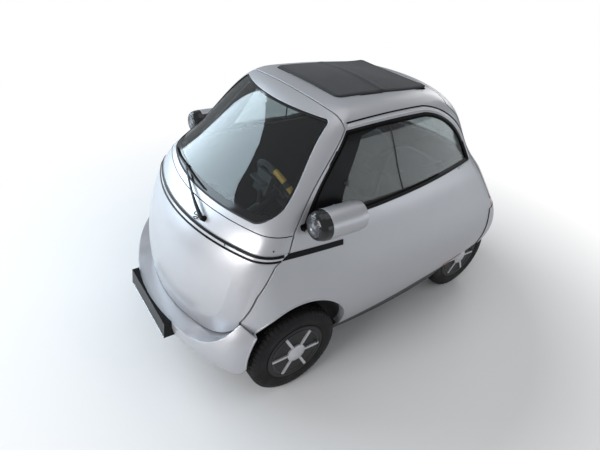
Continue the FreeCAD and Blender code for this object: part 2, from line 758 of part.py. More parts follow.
def axle_corner():
    # One side of the front axle: post, lower and upper arm with eyes for the knuckle's pins, and strut
    post = block(liner_inner_x + 2, member_half, front_axle_y - 26, front_axle_y + 26, member_low,
                 upper_z + 18)
    lower_edge = [(member_half - 4, -78), (kingpin_x - 70, -20), (kingpin_x + 18, -15)]
    upper_edge = [(member_half - 10, -24), (kingpin_x - 40, -16), (kingpin_x + 18, -14)]
    arms = []
    for edge, z_low in ((lower_edge, lower_z - arm_thickness), (upper_edge, upper_z)):
        near = [(x, front_axle_y + y) for x, y in edge]
        away = [(x, front_axle_y - y) for x, y in reversed(edge)]
        arms.append(flat_plate(near + away, z_low, arm_thickness))
    eye = rod(Vector(kingpin_x, front_axle_y, lower_z - 60), Vector(kingpin_x, front_axle_y, upper_z + 60),
              kingpin_radius + bore_clearance)
    strut_y = front_axle_y - strut_set_back
    strut = spring_strut(Vector(strut_foot_x, strut_y + 18, lower_z - arm_thickness / 2),
                         Vector(strut_head_x, strut_y, strut_head_z), 27.0)
    return post.fuse(arms).cut(eye).fuse(strut)


lower_z = tyre_radius - kingpin_half
upper_z = tyre_radius + kingpin_half
cross_member = block(-member_half, member_half, front_axle_y - 40, front_axle_y + 40, member_low,
                     member_low + 52)
rack_y = front_axle_y + 96
rack = rod(Vector(-260, rack_y, 190), Vector(260, rack_y, 190), 20)
feet = []
for x in (-210, 210):
    feet.append(block(x - 30, x + 30, front_axle_y - 30, front_axle_y + 30, member_low + 40,
                      floor_low - skin_clearance))
    feet.append(block(x - 24, x + 24, front_axle_y + 30, rack_y, 178, 198))
corner = axle_corner()
save("front_axle", cross_member.fuse([corner, mirrored(corner), rack] + feet))


def knuckle():
    # Upright with a pin at each end, the stub axle for the wheel, and the steering arm
    inner_x = kingpin_x - 13
    outer_x = kingpin_x + 11
    axle = Vector(kingpin_x, front_axle_y, tyre_radius)
    upright = block(inner_x, outer_x, front_axle_y - 20, front_axle_y + 20, lower_z + pin_shoulder,
                    upper_z - pin_shoulder)
    pin = rod(Vector(kingpin_x, front_axle_y, lower_z - arm_thickness), Vector(kingpin_x, front_axle_y,
              upper_z + arm_thickness), kingpin_radius)
    stub = rod(axle, Vector(tyre_centre_front_x + stub_reach, front_axle_y, tyre_radius), stub_radius)
    boss = rod(Vector(inner_x, front_axle_y, tyre_radius), Vector(outer_x, front_axle_y, tyre_radius), 36)
    steer_arm = block(inner_x, kingpin_x + 3, front_axle_y + 18, rack_y - 4, 232, 248)
    return upright.fuse([pin, stub, boss, steer_arm])


knuckle_left = knuckle()
save("knuckle_left", knuckle_left)
save("knuckle_right", mirrored(knuckle_left))


def rear_corner():
    # Trailing arm with a stub axle, and a strut up to the load floor
    arm = block(rear_arm_x - rear_arm_half, rear_arm_x + rear_arm_half, rear_pivot_y, rear_axle_y + 36,
                tyre_radius - 30, tyre_radius + 30)
    stub = rod(Vector(rear_arm_x, rear_axle_y, tyre_radius),
               Vector(tyre_centre_rear_x + stub_reach, rear_axle_y, tyre_radius), stub_radius)
    flange = rod(Vector(rear_arm_x, rear_axle_y, tyre_radius),
                 Vector(rear_arm_x + rear_arm_half + 6, rear_axle_y, tyre_radius), 44)
    foot = Vector(rear_strut_x, rear_axle_y + 10, tyre_radius)
    strut = spring_strut(foot, Vector(rear_strut_x, rear_axle_y + 10, load_floor_z - skin_clearance), 22.0)
    pad = block(rear_strut_x - 14, rear_arm_x, rear_axle_y - 6, rear_axle_y + 26, tyre_radius - 20,
                tyre_radius + 4)
    bracket = block(230, 270, load_front_y + load_floor_thickness + skin_clearance, rear_pivot_y,
                    rear_pivot_z - 12, rear_pivot_z + 12)
    return arm.fuse([stub, flange, strut, pad, bracket])


tube_end = rear_arm_x + rear_arm_half
tube_start = Vector(-tube_end, rear_pivot_y, rear_pivot_z)
rear_tube = rod(tube_start, Vector(tube_end, rear_pivot_y, rear_pivot_z), 24)
trailing = rear_corner()
save("rear_axle", rear_tube.fuse([trailing, mirrored(trailing)]))


# Wheels, drawn across the wheel (x) and out from its axle (radius), all four alike
def turned(edges):
    return Part.Face(Part.Wire(edges)).revolve(Vector(0, 0, 0), Vector(1, 0, 0), 360)


def turned_lines(points):
    corners = [Vector(x, 0, radius) for x, radius in points]
    return [Part.makeLine(start, end) for start, end in zip(corners, corners[1:] + corners[:1])]


def tyre_profile():
    half = tyre_width / 2
    bead_out = Vector(half - 17, 0, rim_radius + 1)
    wall_out = Vector(half, 0, rim_radius + 52)
    shoulder_out = Vector(half - 8, 0, tyre_radius - 13)
    tread_out = Vector(half - 20, 0, tyre_radius - 2)
    tread_in = Vector(-tread_out.x, 0, tread_out.z)
    shoulder_in = Vector(-shoulder_out.x, 0, shoulder_out.z)
    bead_in = Vector(-bead_out.x, 0, bead_out.z)
    inner_out = Vector(bead_out.x - 10, 0, bead_out.z)
    inner_in = Vector(-inner_out.x, 0, inner_out.z)
    return [
        arc_edge(bead_out, wall_out, shoulder_out),
        Part.makeLine(shoulder_out, tread_out),
        arc_edge(tread_out, Vector(0, 0, tyre_radius), tread_in),
        Part.makeLine(tread_in, shoulder_in),
        arc_edge(shoulder_in, Vector(-half, 0, wall_out.z), bead_in),
        Part.makeLine(bead_in, inner_in),
        arc_edge(inner_in, Vector(0, 0, tyre_radius - 16), inner_out),
        Part.makeLine(inner_out, bead_out),
    ]


def rim_profile():
    # Barrel with its bead seats, the disc set near its outer face, and the hub
    half = tyre_width / 2
    seat = rim_radius + 0.7
    bore = stub_radius + bore_clearance
    return turned_lines([
        (-half + 4, seat + 8), (-half + 8, seat + 8), (-half + 15, seat), (-30, seat), (-18, seat - 14),
        (22, seat - 14), (half - 25, seat), (half - 15, seat), (half - 8, seat + 8), (half - 4, seat + 8),
        (half - 4, seat - 5), (half - 6, seat - 11), (disc_face, seat - 15), (disc_face, cap_radius - 8),
        (disc_face - 8, cap_radius - 14), (disc_face - 8, bore), (hub_start, bore), (hub_start, bore + 16),
        (disc_face - 20, bore + 16), (disc_face - 12, cap_radius), (disc_face - 12, seat - 30),
        (half - 34, seat - 22), (-22, seat - 22), (-34, seat - 8), (-half + 4, seat - 6),
    ])


def wheel_trim():
    # Domed hub cap with six flat bars that run out from under it
    base = disc_face + skin_clearance
    wall = 10.0
    rise = cap_height - wall
    dome_radius = (cap_radius ** 2 + rise ** 2) / (2 * rise)
    centre_x = base + cap_height - dome_radius
    half_turn = math.asin(cap_radius / dome_radius) / 2
    dome_middle = Vector(centre_x + dome_radius * math.cos(half_turn), 0, dome_radius * math.sin(half_turn))
    foot = Vector(base, 0, cap_radius)
    rim = Vector(base + wall, 0, cap_radius)
    top = Vector(base + cap_height, 0, 0)
    trim = turned([
        Part.makeLine(Vector(base, 0, 0), foot),
        Part.makeLine(foot, rim),
        arc_edge(rim, dome_middle, top),
        Part.makeLine(top, Vector(base, 0, 0)),
    ])
    for index in range(wheel_bar_count):
        bar = block(base, base + wall - 2, -wheel_bar_width / 2, wheel_bar_width / 2, wheel_bar_start,
                    wheel_bar_start + wheel_bar_length)
        bar.rotate(Vector(0, 0, 0), Vector(1, 0, 0), index * 360.0 / wheel_bar_count + wheel_bar_turn)
        trim = trim.fuse(bar)
    return trim


wheel_places = [
    ("front_left", tyre_centre_front_x, front_axle_y, 1),
    ("front_right", tyre_centre_front_x, front_axle_y, -1),
    ("rear_left", tyre_centre_rear_x, rear_axle_y, 1),
    ("rear_right", tyre_centre_rear_x, rear_axle_y, -1),
]
wheel_pieces = [
    ("tyre_", turned(tyre_profile())),
    ("rim_", turned(rim_profile())),
    ("wheel_trim_", wheel_trim()),
]
for place, centre_x, axle_y, side in wheel_places:
    for prefix, piece in wheel_pieces:
        copy = piece.copy()
        copy.translate(Vector(centre_x, axle_y, tyre_radius))
        save(prefix + place, copy if side > 0 else mirrored(copy))


# Lamp pods: a rounded housing with a black front ring, a lens, and a mirror on its flat rear end
def pod_turned(points):
    corners = [Vector(radius, y, 0) for radius, y in points]
    edges = [Part.makeLine(start, end) for start, end in zip(corners, corners[1:] + corners[:1])]
    piece = Part.Face(Part.Wire(edges)).revolve(Vector(0, 0, 0), Vector(0, 1, 0), 360)
    piece.translate(Vector(pod_x, 0, pod_z))
    return piece


glass_depth = pod_front_y + 22
clear_form = level_form(body_levels, -skin_clearance, -skin_clearance)
pod_stem = rod(Vector(pod_x - pod_radius + 12, pod_stem_y, pod_z), Vector(pod_x - 150, pod_stem_y, pod_z), 22)
pod_housing = pod_turned([(0, pod_rear_y), (pod_radius - 12, pod_rear_y), (pod_radius - 5, pod_rear_y - 4),
                          (pod_radius, pod_rear_y - 40), (pod_radius, pod_ring_y + 60),
                          (pod_radius - 1, pod_ring_y), (0, pod_ring_y)])
pod_ring = pod_turned([(0, pod_ring_y - skin_clearance), (pod_radius - 1.5, pod_ring_y - skin_clearance),
                       (pod_radius - 4, pod_ring_y - 28), (pod_radius - 10, pod_ring_y - 46),
                       (pod_radius - 17, pod_front_y + 4), (pod_radius - 23, pod_front_y),
                       (lens_radius + 1, pod_front_y), (lens_radius + 1, glass_depth), (0, glass_depth)])
pod_lens = pod_turned([(0, glass_depth - skin_clearance), (lens_radius + 0.5, glass_depth - skin_clearance),
                       (lens_radius + 0.5, pod_front_y + 8), (lens_radius * 0.75, pod_front_y + 2),
                       (0, pod_front_y)])
pod_mirror = pod_turned([(0, pod_rear_y + skin_clearance), (pod_radius - 15, pod_rear_y + skin_clearance),
                         (pod_radius - 15, pod_rear_y + 3), (0, pod_rear_y + 3)])
save("pod_housings", both_sides(pod_housing.fuse(pod_stem.cut(clear_form))))
save("pod_rings", both_sides(pod_ring))
save("pod_lenses", both_sides(pod_lens))
save("pod_mirrors", both_sides(pod_mirror))


# Rear number plate on its holder, and the empty plate rail in front
def leaning_slab(foot_y, foot_z, slope, low, high, half_width):
    # Slab in the side view whose face passes through the foot and leans back above it
    way = 1 if foot_y > 0 else -1
    face = [(foot_y - way * slope * (z - foot_z), z) for z in (low, high)]
    inner_y = foot_y - way * plate_holder_depth
    return side_prism(side_lines(face + [(inner_y, high), (inner_y, low)]), half_width)


plate_high = rear_plate_low + plate_height
back_y = tail_y - plate_thickness
rear_plate = leaning_slab(tail_y, rear_plate_low, plate_slope, rear_plate_low, plate_high, plate_half_width)
rear_plate = rear_plate.cut(leaning_slab(back_y, rear_plate_low, plate_slope, rear_plate_low - 1,
                                         plate_high + 1, plate_half_width + 1)).cut(plate_bolts)
rear_holder = leaning_slab(back_y - skin_clearance, rear_plate_low, plate_slope, rear_plate_low - 8,
                           plate_high + 8, plate_half_width + 8).cut([rear_outer, *plate_bolts])
front_rail = leaning_slab(nose_y, front_rail_low, front_rail_slope, front_rail_low, front_rail_high,
                          front_rail_half_width).cut(bumper_form)
save("rear_number_plate", rear_plate)
save("plate_holders", Part.Compound([front_rail, rear_holder]))

# Red reflector bars on the lower edge of the painted sides, ahead of the rear wheels
reflector_form = level_form(body_levels, -3.0)
reflector = block(300, far, 434, 650, 406, 420).common(reflector_form).cut(clear_form)
save("side_reflectors", both_sides(reflector))


# Seats: two cushions on a box across the car, and two backs with head rests
def rounded_block(x_low, x_high, y_low, y_high, z_low, z_high, radius):
    shape = block(x_low, x_high, y_low, y_high, z_low, z_high)
    return shape.makeFillet(radius, shape.Edges)


save("seat_box", block(-500, 500, seat_front_y + 40, seat_rear_y - 10, floor_high + skin_clearance,
                       seat_box_high))
cushion = rounded_block(seat_x - seat_half_width, seat_x + seat_half_width, seat_front_y, seat_rear_y,
                        seat_box_high + skin_clearance, seat_high, 34.0)
back = rounded_block(seat_x - seat_half_width, seat_x + seat_half_width, seat_rear_y - 28, seat_rear_y + 82,
                     seat_high - 24, seat_back_high, 34.0)
back.rotate(Vector(0, seat_rear_y, seat_high), Vector(1, 0, 0), -9)
save("seats", both_sides(cushion.fuse(back)))

# Steering post and column with the display, and the steering wheel on it
way_to_driver = Vector(0, math.cos(math.radians(column_tilt)), math.sin(math.radians(column_tilt)))
column_end = steering_centre - way_to_driver * 6
column_foot = steering_centre - way_to_driver * column_length
column = rod(column_foot, column_end - way_to_driver * 16, column_radius)
shaft = rod(column_foot, column_end, 10)
post = block(column_x - 30, column_x + 30, column_foot.y - 35, column_foot.y + 35,
             floor_high + skin_clearance, column_foot.z)
display = block(-60, 60, -26, 0, 0, 110)
display.rotate(Vector(0, 0, 0), Vector(1, 0, 0), -18)
display.translate(Vector(column_x - 20, -735, 1012))
display_foot = block(column_x - 14, column_x + 14, -770, -735, 935, 1040)
save("steering_column", column.fuse([shaft, post, display, display_foot]))


def steering_wheel():
    # Ring, hub and three spokes, drawn flat and then tilted towards the driver
    ring = Part.makeTorus(steering_radius, steering_grip)
    hub = rod(Vector(0, 0, -14), Vector(0, 0, 26), 46)
    spokes = []
    for turn in (0, 180, 270):
        spoke = block(30, steering_radius, -19, 19, -6, 6)
        spoke.rotate(Vector(0, 0, 0), Vector(0, 0, 1), turn)
        spokes.append(spoke)
    wheel = ring.fuse([hub] + spokes).cut(rod(Vector(0, 0, -15), Vector(0, 0, 10), 10 + bore_clearance))
    wheel.rotate(Vector(0, 0, 0), Vector(1, 0, 0), column_tilt - 90)
    wheel.translate(steering_centre)
    return wheel


save("steering_wheel", steering_wheel())
pedals = []
for x in (130, 310):
    pad = block(x - 26, x + 26, -6, 6, 0, 84)
    pad.rotate(Vector(0, 0, 0), Vector(1, 0, 0), 28)
    pad.translate(Vector(0, -985, 350))
    lever = block(x - 6, x + 6, -1000, -984, floor_high + skin_clearance, 400)
    pedals.append(pad.fuse(lever))
save("pedals", Part.Compound(pedals))

# Cross bar inside the front door, and the wiper outside it
bar_line = [(-640, -862), (-330, -950), (330, -950), (640, -862)]
bar_points = [Vector(x, y, 905) for x, y in bar_line]
clamp_half = Vector(0, 0, 17)
door_bar = rod(bar_points[0], bar_points[1], 15)
for start, end in zip(bar_points[1:-1], bar_points[2:]):
    door_bar = door_bar.fuse([rod(start, end, 15), rod(start - clamp_half, start + clamp_half, 18)])
save("door_bar", door_bar.common(hollow_form))
wiper_head = wiper_pivot + Vector(0, -14, 6)
wiper = rod(wiper_pivot + Vector(0, 40, -18), wiper_head, 11).cut(clear_form)
wiper = wiper.fuse([rod(wiper_head, wiper_tip, 5), Part.makeSphere(8, wiper_tip)])
for start, end in zip(wiper_blade[:-1], wiper_blade[1:]):
    wiper = wiper.fuse([rod(start, end, 5), Part.makeSphere(6, start)])
save("wiper", wiper)
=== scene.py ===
import bpy
import json
import math
import numpy as np
from mathutils import Matrix, Vector
from mathutils.bvhtree import BVHTree


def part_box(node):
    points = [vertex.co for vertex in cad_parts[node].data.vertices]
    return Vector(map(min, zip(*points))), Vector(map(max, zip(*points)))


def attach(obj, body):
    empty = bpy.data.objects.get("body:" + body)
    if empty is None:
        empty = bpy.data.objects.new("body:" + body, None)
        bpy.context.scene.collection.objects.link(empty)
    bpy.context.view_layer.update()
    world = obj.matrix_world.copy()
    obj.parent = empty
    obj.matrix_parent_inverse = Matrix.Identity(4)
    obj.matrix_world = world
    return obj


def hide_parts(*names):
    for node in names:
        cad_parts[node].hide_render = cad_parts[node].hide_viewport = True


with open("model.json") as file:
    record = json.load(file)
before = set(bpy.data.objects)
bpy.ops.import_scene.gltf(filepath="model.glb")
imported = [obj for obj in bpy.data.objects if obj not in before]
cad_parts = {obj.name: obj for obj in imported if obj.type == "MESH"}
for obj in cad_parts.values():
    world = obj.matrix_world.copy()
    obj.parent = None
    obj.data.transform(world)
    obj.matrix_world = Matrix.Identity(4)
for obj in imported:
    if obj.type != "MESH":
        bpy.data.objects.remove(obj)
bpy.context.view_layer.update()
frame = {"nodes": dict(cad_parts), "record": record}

scene = bpy.context.scene
scene.view_settings.view_transform = "Standard"

# Sizes below are in millimetres from the floor and the car's middle, with the front axle at frontAxle
frontAxle = -739.0
rearAxle = 825.0
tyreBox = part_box("tyre_front_left")
frameShift = (tyreBox[0].y + tyreBox[1].y) / 2 - frontAxle / 1000

camera = dict(place=(1910.977, -1835.826, 2153.974), azimuth=51.034, elevation=33.075, roll=7.487,
              lens=27.266, sensor=36, photoWidth=600, photoHeight=450)
studio = dict(floorColour=(0.80, 0.80, 0.80), worldColour=(0.93, 0.96, 1.0), worldLight=0.40, aim=(0, 0, 0.6),
              floorHalf=40, fadeStart=1.5, fadeEnd=2.9,
              lamps=[("keyLamp", (-5.0, -3.7, 3.0), (5.6, 4.4), 380, (0.74, 0.89, 1.0)),
                     ("frontLamp", (0.9, -6.0, 2.5), (3.2, 2.4), 190, (1.0, 0.97, 0.96)),
                     ("topLamp", (0.2, 0.4, 5.0), (3.2, 3.2), 22, (1.0, 1.0, 1.0)),
                     ("wallLamp", (5.0, 4.8, 1.5), (6.6, 2.7), 66, (0.94, 0.98, 1.0)),
                     ("backLamp", (-1.5, 5.2, 3.0), (2.6, 2.6), 40, (1.0, 0.99, 0.97))])
cabin = dict(half=0.5, height=0.8, lining=0.85)  # metres: the middle that outer faces look away from
dustColour = (0.33, 0.31, 0.28)
bothSides = ((1, "Left"), (-1, "Right"))


def at(x, y, z):
    return Vector((x / 1000, y / 1000 + frameShift, z / 1000))


def cameraTurn():
    # Azimuth 0 looks along +Y and 90 along -X; the elevation is how far the camera looks down
    heading = Matrix.Rotation(math.radians(camera["azimuth"]), 3, "Z")
    tip = Matrix.Rotation(math.radians(90 - camera["elevation"]), 3, "X")
    roll = Matrix.Rotation(math.radians(camera["roll"]), 3, "Z")
    return heading @ tip @ roll


def fromPixel(across, down, z):
    # The place at height z that the photo shows at one of its pixels
    focal = camera["lens"] / camera["sensor"] * camera["photoWidth"]
    offset = (across - camera["photoWidth"] / 2, camera["photoHeight"] / 2 - down)
    way = cameraTurn() @ Vector((*offset, -focal))
    share = (z - camera["place"][2]) / way.z
    return at(*(Vector(camera["place"]) + way * share))


def makeCamera():
    data = bpy.data.cameras.new("photoCamera")
    data.lens = camera["lens"]
    data.sensor_width = camera["sensor"]
    data.clip_start = 0.02
    data.clip_end = 200
    view = bpy.data.objects.new("photoCamera", data)
    view.matrix_world = Matrix.Translation(at(*camera["place"])) @ cameraTurn().to_4x4()
    scene.collection.objects.link(view)
    scene.camera = view


def makeStudio():
    for name, place, size, watts, colour in studio["lamps"]:
        data = bpy.data.lights.new(name, "AREA")
        data.shape = "RECTANGLE"
        data.size, data.size_y = size
        data.energy = watts
        data.color = colour
        lamp = bpy.data.objects.new(name, data)
        lamp.location = place
        lamp.rotation_euler = (Vector(studio["aim"]) - Vector(place)).to_track_quat("-Z", "Y").to_euler()
        scene.collection.objects.link(lamp)
    world = bpy.data.worlds.new("studioWorld")
    scene.world = world
    world.use_nodes = True
    tree = world.node_tree
    tree.nodes.clear()
    out = tree.nodes.new("ShaderNodeOutputWorld")
    soft = addNode(tree, "Background", {"Color": studio["worldColour"], "Strength": studio["worldLight"]})
    plain = addNode(tree, "Background", {"Color": (1, 1, 1)})
    mixShaders(tree, lightPath(tree, "Is Camera Ray"), soft, plain, out)
    mesh = bpy.data.meshes.new("studioFloor")
    half = studio["floorHalf"]
    corners = [(-half, -half, 0), (half, -half, 0), (half, half, 0), (-half, half, 0)]
    mesh.from_pydata(corners, [], [(0, 1, 2, 3)])
    floor = bpy.data.objects.new("studioFloor", mesh)
    scene.collection.objects.link(floor)
    floorFinish()
    mesh.materials.append(finishes["floorFinish"])


finishes = {}


def newMaterial(name, **sockets):
    # Keeps the material in finishes; underscores in the names of sockets stand for spaces
    material = bpy.data.materials.new(name)
    material.use_nodes = True
    shader = material.node_tree.nodes["Principled BSDF"]
    for label, value in sockets.items():
        shader.inputs[label.replace("_", " ")].default_value = value
    finishes[name] = material
    return material.node_tree, shader


def addNode(tree, kind, values, **settings):
    # A node with a number, a colour or another node's output on each of its named or counted inputs
    node = tree.nodes.new("ShaderNode" + kind)
    for key, value in settings.items():
        setattr(node, key, value)
    for slot, value in values.items():
        if isinstance(value, (int, float)):
            node.inputs[slot].default_value = value
        elif isinstance(value, tuple):
            node.inputs[slot].default_value = (*value, 1)
        else:
            tree.links.new(value, node.inputs[slot])
    return node


def connect(tree, node, **values):
    for label, value in values.items():
        tree.links.new(value, node.inputs[label.replace("_", " ")])


def mathNode(tree, kind, *values):
    return addNode(tree, "Math", dict(enumerate(values)), operation=kind).outputs["Value"]


def rampNode(tree, value, low, high, start=0.0, end=1.0):
    labels = ("Value", "From Min", "From Max", "To Min", "To Max")
    return addNode(tree, "MapRange", dict(zip(labels, (value, low, high, start, end)))).outputs["Result"]


def mixColour(tree, share, first, second):
    return addNode(tree, "Mix", {0: share, 6: first, 7: second}, data_type="RGBA").outputs[2]


def mixShaders(tree, share, first, second, out):
    # Shows the first shader, and the second by its share, on an output node
    values = {0: share, 1: first.outputs[0], 2: second.outputs[0]}
    connect(tree, out, Surface=addNode(tree, "MixShader", values).outputs["Shader"])


def objectPoint(tree):
    return addNode(tree, "TexCoord", {}).outputs["Object"]


def objectSplit(tree):
    return addNode(tree, "SeparateXYZ", {"Vector": objectPoint(tree)}).outputs


def lightPath(tree, kind):
    return addNode(tree, "LightPath", {}).outputs[kind]


def noiseNode(tree, scale, detail, rough):
    values = {"Scale": scale, "Detail": detail, "Roughness": rough, "Vector": objectPoint(tree)}
    return addNode(tree, "TexNoise", values).outputs["Fac"]


def bumpNode(tree, height, depth, normal=None):
    # A bump of a depth in millimetres, on top of another normal where one is given
    values = {"Distance": depth / 1000, "Height": height}
    if normal is not None:
        values["Normal"] = normal
    return addNode(tree, "Bump", values).outputs["Normal"]


def newGroup(name, numbers, *results):
    group = bpy.data.node_groups.new(name, "ShaderNodeTree")
    for label, value in numbers.items():
        socket = group.interface.new_socket(label, in_out="INPUT", socket_type="NodeSocketFloat")
        socket.default_value = value
    for label in results:
        group.interface.new_socket(label, in_out="OUTPUT", socket_type="NodeSocketFloat")
    source = group.nodes.new("NodeGroupInput")
    sink = group.nodes.new("NodeGroupOutput")
    return group, source.outputs, sink.inputs


def grainGroup():
    # Fine moulded or sprayed grain: a height, and a patchy mask for colour and gloss
    group, given, sink = newGroup("surfaceGrain", {"Scale": 400.0, "Patch Scale": 6.0}, "Height", "Patches")
    group.links.new(noiseNode(group, given["Scale"], 3.0, 0.6), sink["Height"])
    group.links.new(noiseNode(group, given["Patch Scale"], 4.0, 0.55), sink["Patches"])
    return group


def dustGroup():
    # Dust that settles low on the car and in patches
    group, given, sink = newGroup("roadDust", {"High": 0.5, "Amount": 0.3}, "Mask")
    height = rampNode(group, objectSplit(group)["Z"], 0.0, given["High"], 1.0, 0.0)
    patches = rampNode(group, noiseNode(group, 9.0, 5.0, 0.6), 0.35, 0.75)
    mask = mathNode(group, "MULTIPLY", mathNode(group, "MULTIPLY", height, patches), given["Amount"])
    group.links.new(mask, sink["Mask"])
    return group


def wearGroup():
    # Worn corners: a mask on the points that stick out, broken up by noise
    group, given, sink = newGroup("edgeWear", {"Amount": 0.5}, "Mask")
    edge = rampNode(group, addNode(group, "NewGeometry", {}).outputs["Pointiness"], 0.50, 0.58)
    broken = mathNode(group, "MULTIPLY", edge, noiseNode(group, 60.0, 4.0, 0.6))
    group.links.new(mathNode(group, "MULTIPLY", broken, given["Amount"]), sink["Mask"])
    return group


def weaveGroup():
    # Plain weave from two crossed sine bands, laid flat from above
    group, given, sink = newGroup("plainWeave", {"Threads": 900.0}, "Height", "Thread Mask")
    place = objectSplit(group)
    bands = []
    for axis in (place["X"], mathNode(group, "ADD", place["Y"], place["Z"])):
        bands.append(mathNode(group, "SINE", mathNode(group, "MULTIPLY", axis, given["Threads"])))
    product = mathNode(group, "MULTIPLY", *bands)
    group.links.new(mathNode(group, "ABSOLUTE", product), sink["Height"])
    group.links.new(rampNode(group, product, -1.0, 1.0), sink["Thread Mask"])
    return group


def insideGroup():
    # Faces that look towards the middle of the cabin
    group, _, sink = newGroup("cabinSide", {}, "Mask")
    middle = addNode(group, "CombineXYZ", {"Z": cabin["lining"]}).outputs["Vector"]
    inwards = addNode(group, "VectorMath", {0: middle, 1: objectPoint(group)}, operation="SUBTRACT")
    normal = addNode(group, "NewGeometry", {}).outputs["Normal"]
    facing = addNode(group, "VectorMath", {0: inwards.outputs["Vector"], 1: normal}, operation="DOT_PRODUCT")
    group.links.new(rampNode(group, facing.outputs["Value"], 0.06, 0.10), sink["Mask"])
    return group


doorRoll = dict(reach=0.585, top=0.880, depth=0.505, start=0.84, power=5.0, fall=1.2, fade=(0.74, 0.87))


def rollGroup():
    # Height that falls away towards the front door's lower and side borders, seen from the front
    form = doorRoll
    group, _, sink = newGroup("panelRoll", {}, "Height")
    place = objectSplit(group)
    across = mathNode(group, "DIVIDE", mathNode(group, "ABSOLUTE", place["X"]), form["reach"])
    below = mathNode(group, "MAXIMUM", mathNode(group, "SUBTRACT", form["top"], place["Z"]), 0.0)
    down = mathNode(group, "DIVIDE", below, form["depth"])
    powers = [mathNode(group, "POWER", way, form["power"]) for way in (across, down)]
    border = mathNode(group, "POWER", mathNode(group, "ADD", *powers), 1 / form["power"])
    fall = mathNode(group, "POWER", rampNode(group, border, form["start"], 1.0), form["fall"])
    fade = rampNode(group, place["Z"], *form["fade"], 1.0, 0.0)
    height = mathNode(group, "MULTIPLY", fall, fade)
    group.links.new(mathNode(group, "SUBTRACT", 1.0, height), sink["Height"])
    return group


groups = dict(grain=grainGroup(), dust=dustGroup(), wear=wearGroup(), weave=weaveGroup(),
              inside=insideGroup(), roll=rollGroup())


def useGroup(tree, key, **values):
    named = {label.replace("_", " "): value for label, value in values.items()}
    return addNode(tree, "Group", named, node_tree=groups[key]).outputs


def shade(colour, share, lift=0.0):
    return tuple(min(1.0, v * share + lift) for v in colour)


def finish(name, colour, rough, grainScale, grainDepth, patchScale, patchColour, patchGloss,
           dustAmount=0.0, wear=0.0, **sockets):
    # A plain painted, moulded or cast finish with its grain, patches, road dust and worn corners
    tree, shader = newMaterial(name, **sockets)
    grain = useGroup(tree, "grain", Scale=grainScale, Patch_Scale=patchScale)
    patches = grain["Patches"]
    deep, pale = shade(colour, 1 - patchColour), shade(colour, 1 + patchColour)
    surface = mixColour(tree, rampNode(tree, patches, 0.3, 0.7), deep, pale)
    gloss = rampNode(tree, patches, 0.25, 0.75, rough * (1 + patchGloss), rough * (1 - patchGloss))
    if wear:
        worn = useGroup(tree, "wear", Amount=wear)["Mask"]
        surface = mixColour(tree, worn, surface, shade(colour, 1.6, 0.05))
    if dustAmount:
        dusty = useGroup(tree, "dust", Amount=dustAmount)["Mask"]
        surface = mixColour(tree, dusty, surface, dustColour)
        gloss = mathNode(tree, "ADD", gloss, mathNode(tree, "MULTIPLY", dusty, 0.4))
    normal = bumpNode(tree, grain["Height"], grainDepth)
    connect(tree, shader, Base_Color=surface, Roughness=gloss, Normal=normal)


def glassFinish(name, colour, rough):
    # Glass that lets light through to what is behind it, with faint smears
    tree, shader = newMaterial(name, Transmission_Weight=1.0, IOR=1.48)
    patches = useGroup(tree, "grain", Patch_Scale=4.0)["Patches"]
    surface = mixColour(tree, patches, shade(colour, 0.98), colour)
    gloss = rampNode(tree, patches, 0.4, 0.8, rough, rough + 0.02)
    connect(tree, shader, Base_Color=surface, Roughness=gloss)
    clear = addNode(tree, "BsdfTransparent", {"Color": colour})
    mixShaders(tree, lightPath(tree, "Is Shadow Ray"), shader, clear, tree.nodes["Material Output"])


def clothFinish(name, colour, threads, rough, depth, sheen):
    # Woven cloth with lighter patches where it is rubbed
    tree, shader = newMaterial(name, Sheen_Weight=sheen, Sheen_Roughness=0.5)
    weave = useGroup(tree, "weave", Threads=threads)
    patches = useGroup(tree, "grain", Patch_Scale=4.0)["Patches"]
    surface = mixColour(tree, weave["Thread Mask"], shade(colour, 0.9), shade(colour, 1.1))
    rubbed = rampNode(tree, patches, 0.3, 0.7, 0.0, 0.35)
    surface = mixColour(tree, rubbed, surface, shade(colour, 1.35, 0.004))
    gloss = rampNode(tree, patches, 0.3, 0.7, rough, rough - 0.12)
    connect(tree, shader, Base_Color=surface, Roughness=gloss, Normal=bumpNode(tree, weave["Height"], depth))


def floorFinish():
    # Pale floor that takes the car's shadow, and turns into the plain background away from it
    tree, shader = newMaterial("floorFinish", Roughness=0.6)
    tone = studio["floorColour"]
    patches = useGroup(tree, "grain", Patch_Scale=1.2)["Patches"]
    connect(tree, shader, Base_Color=mixColour(tree, patches, shade(tone, 0.985), tone))
    away = addNode(tree, "VectorMath", {0: objectPoint(tree)}, operation="LENGTH").outputs["Value"]
    fade = rampNode(tree, away, studio["fadeStart"], studio["fadeEnd"])
    fade = mathNode(tree, "MULTIPLY", fade, lightPath(tree, "Is Camera Ray"))
    plain = addNode(tree, "Emission", {"Color": (1, 1, 1)})
    mixShaders(tree, fade, shader, plain, tree.nodes["Material Output"])


bodyPaint = dict(colour=(0.47, 0.475, 0.50), trim=(0.014, 0.014, 0.015), metal=0.55, rough=0.38, smooth=0.34,
                 trimRough=0.7, dustHigh=0.42, dustAmount=0.10, flakeScale=2600.0, flakeDepth=0.006)


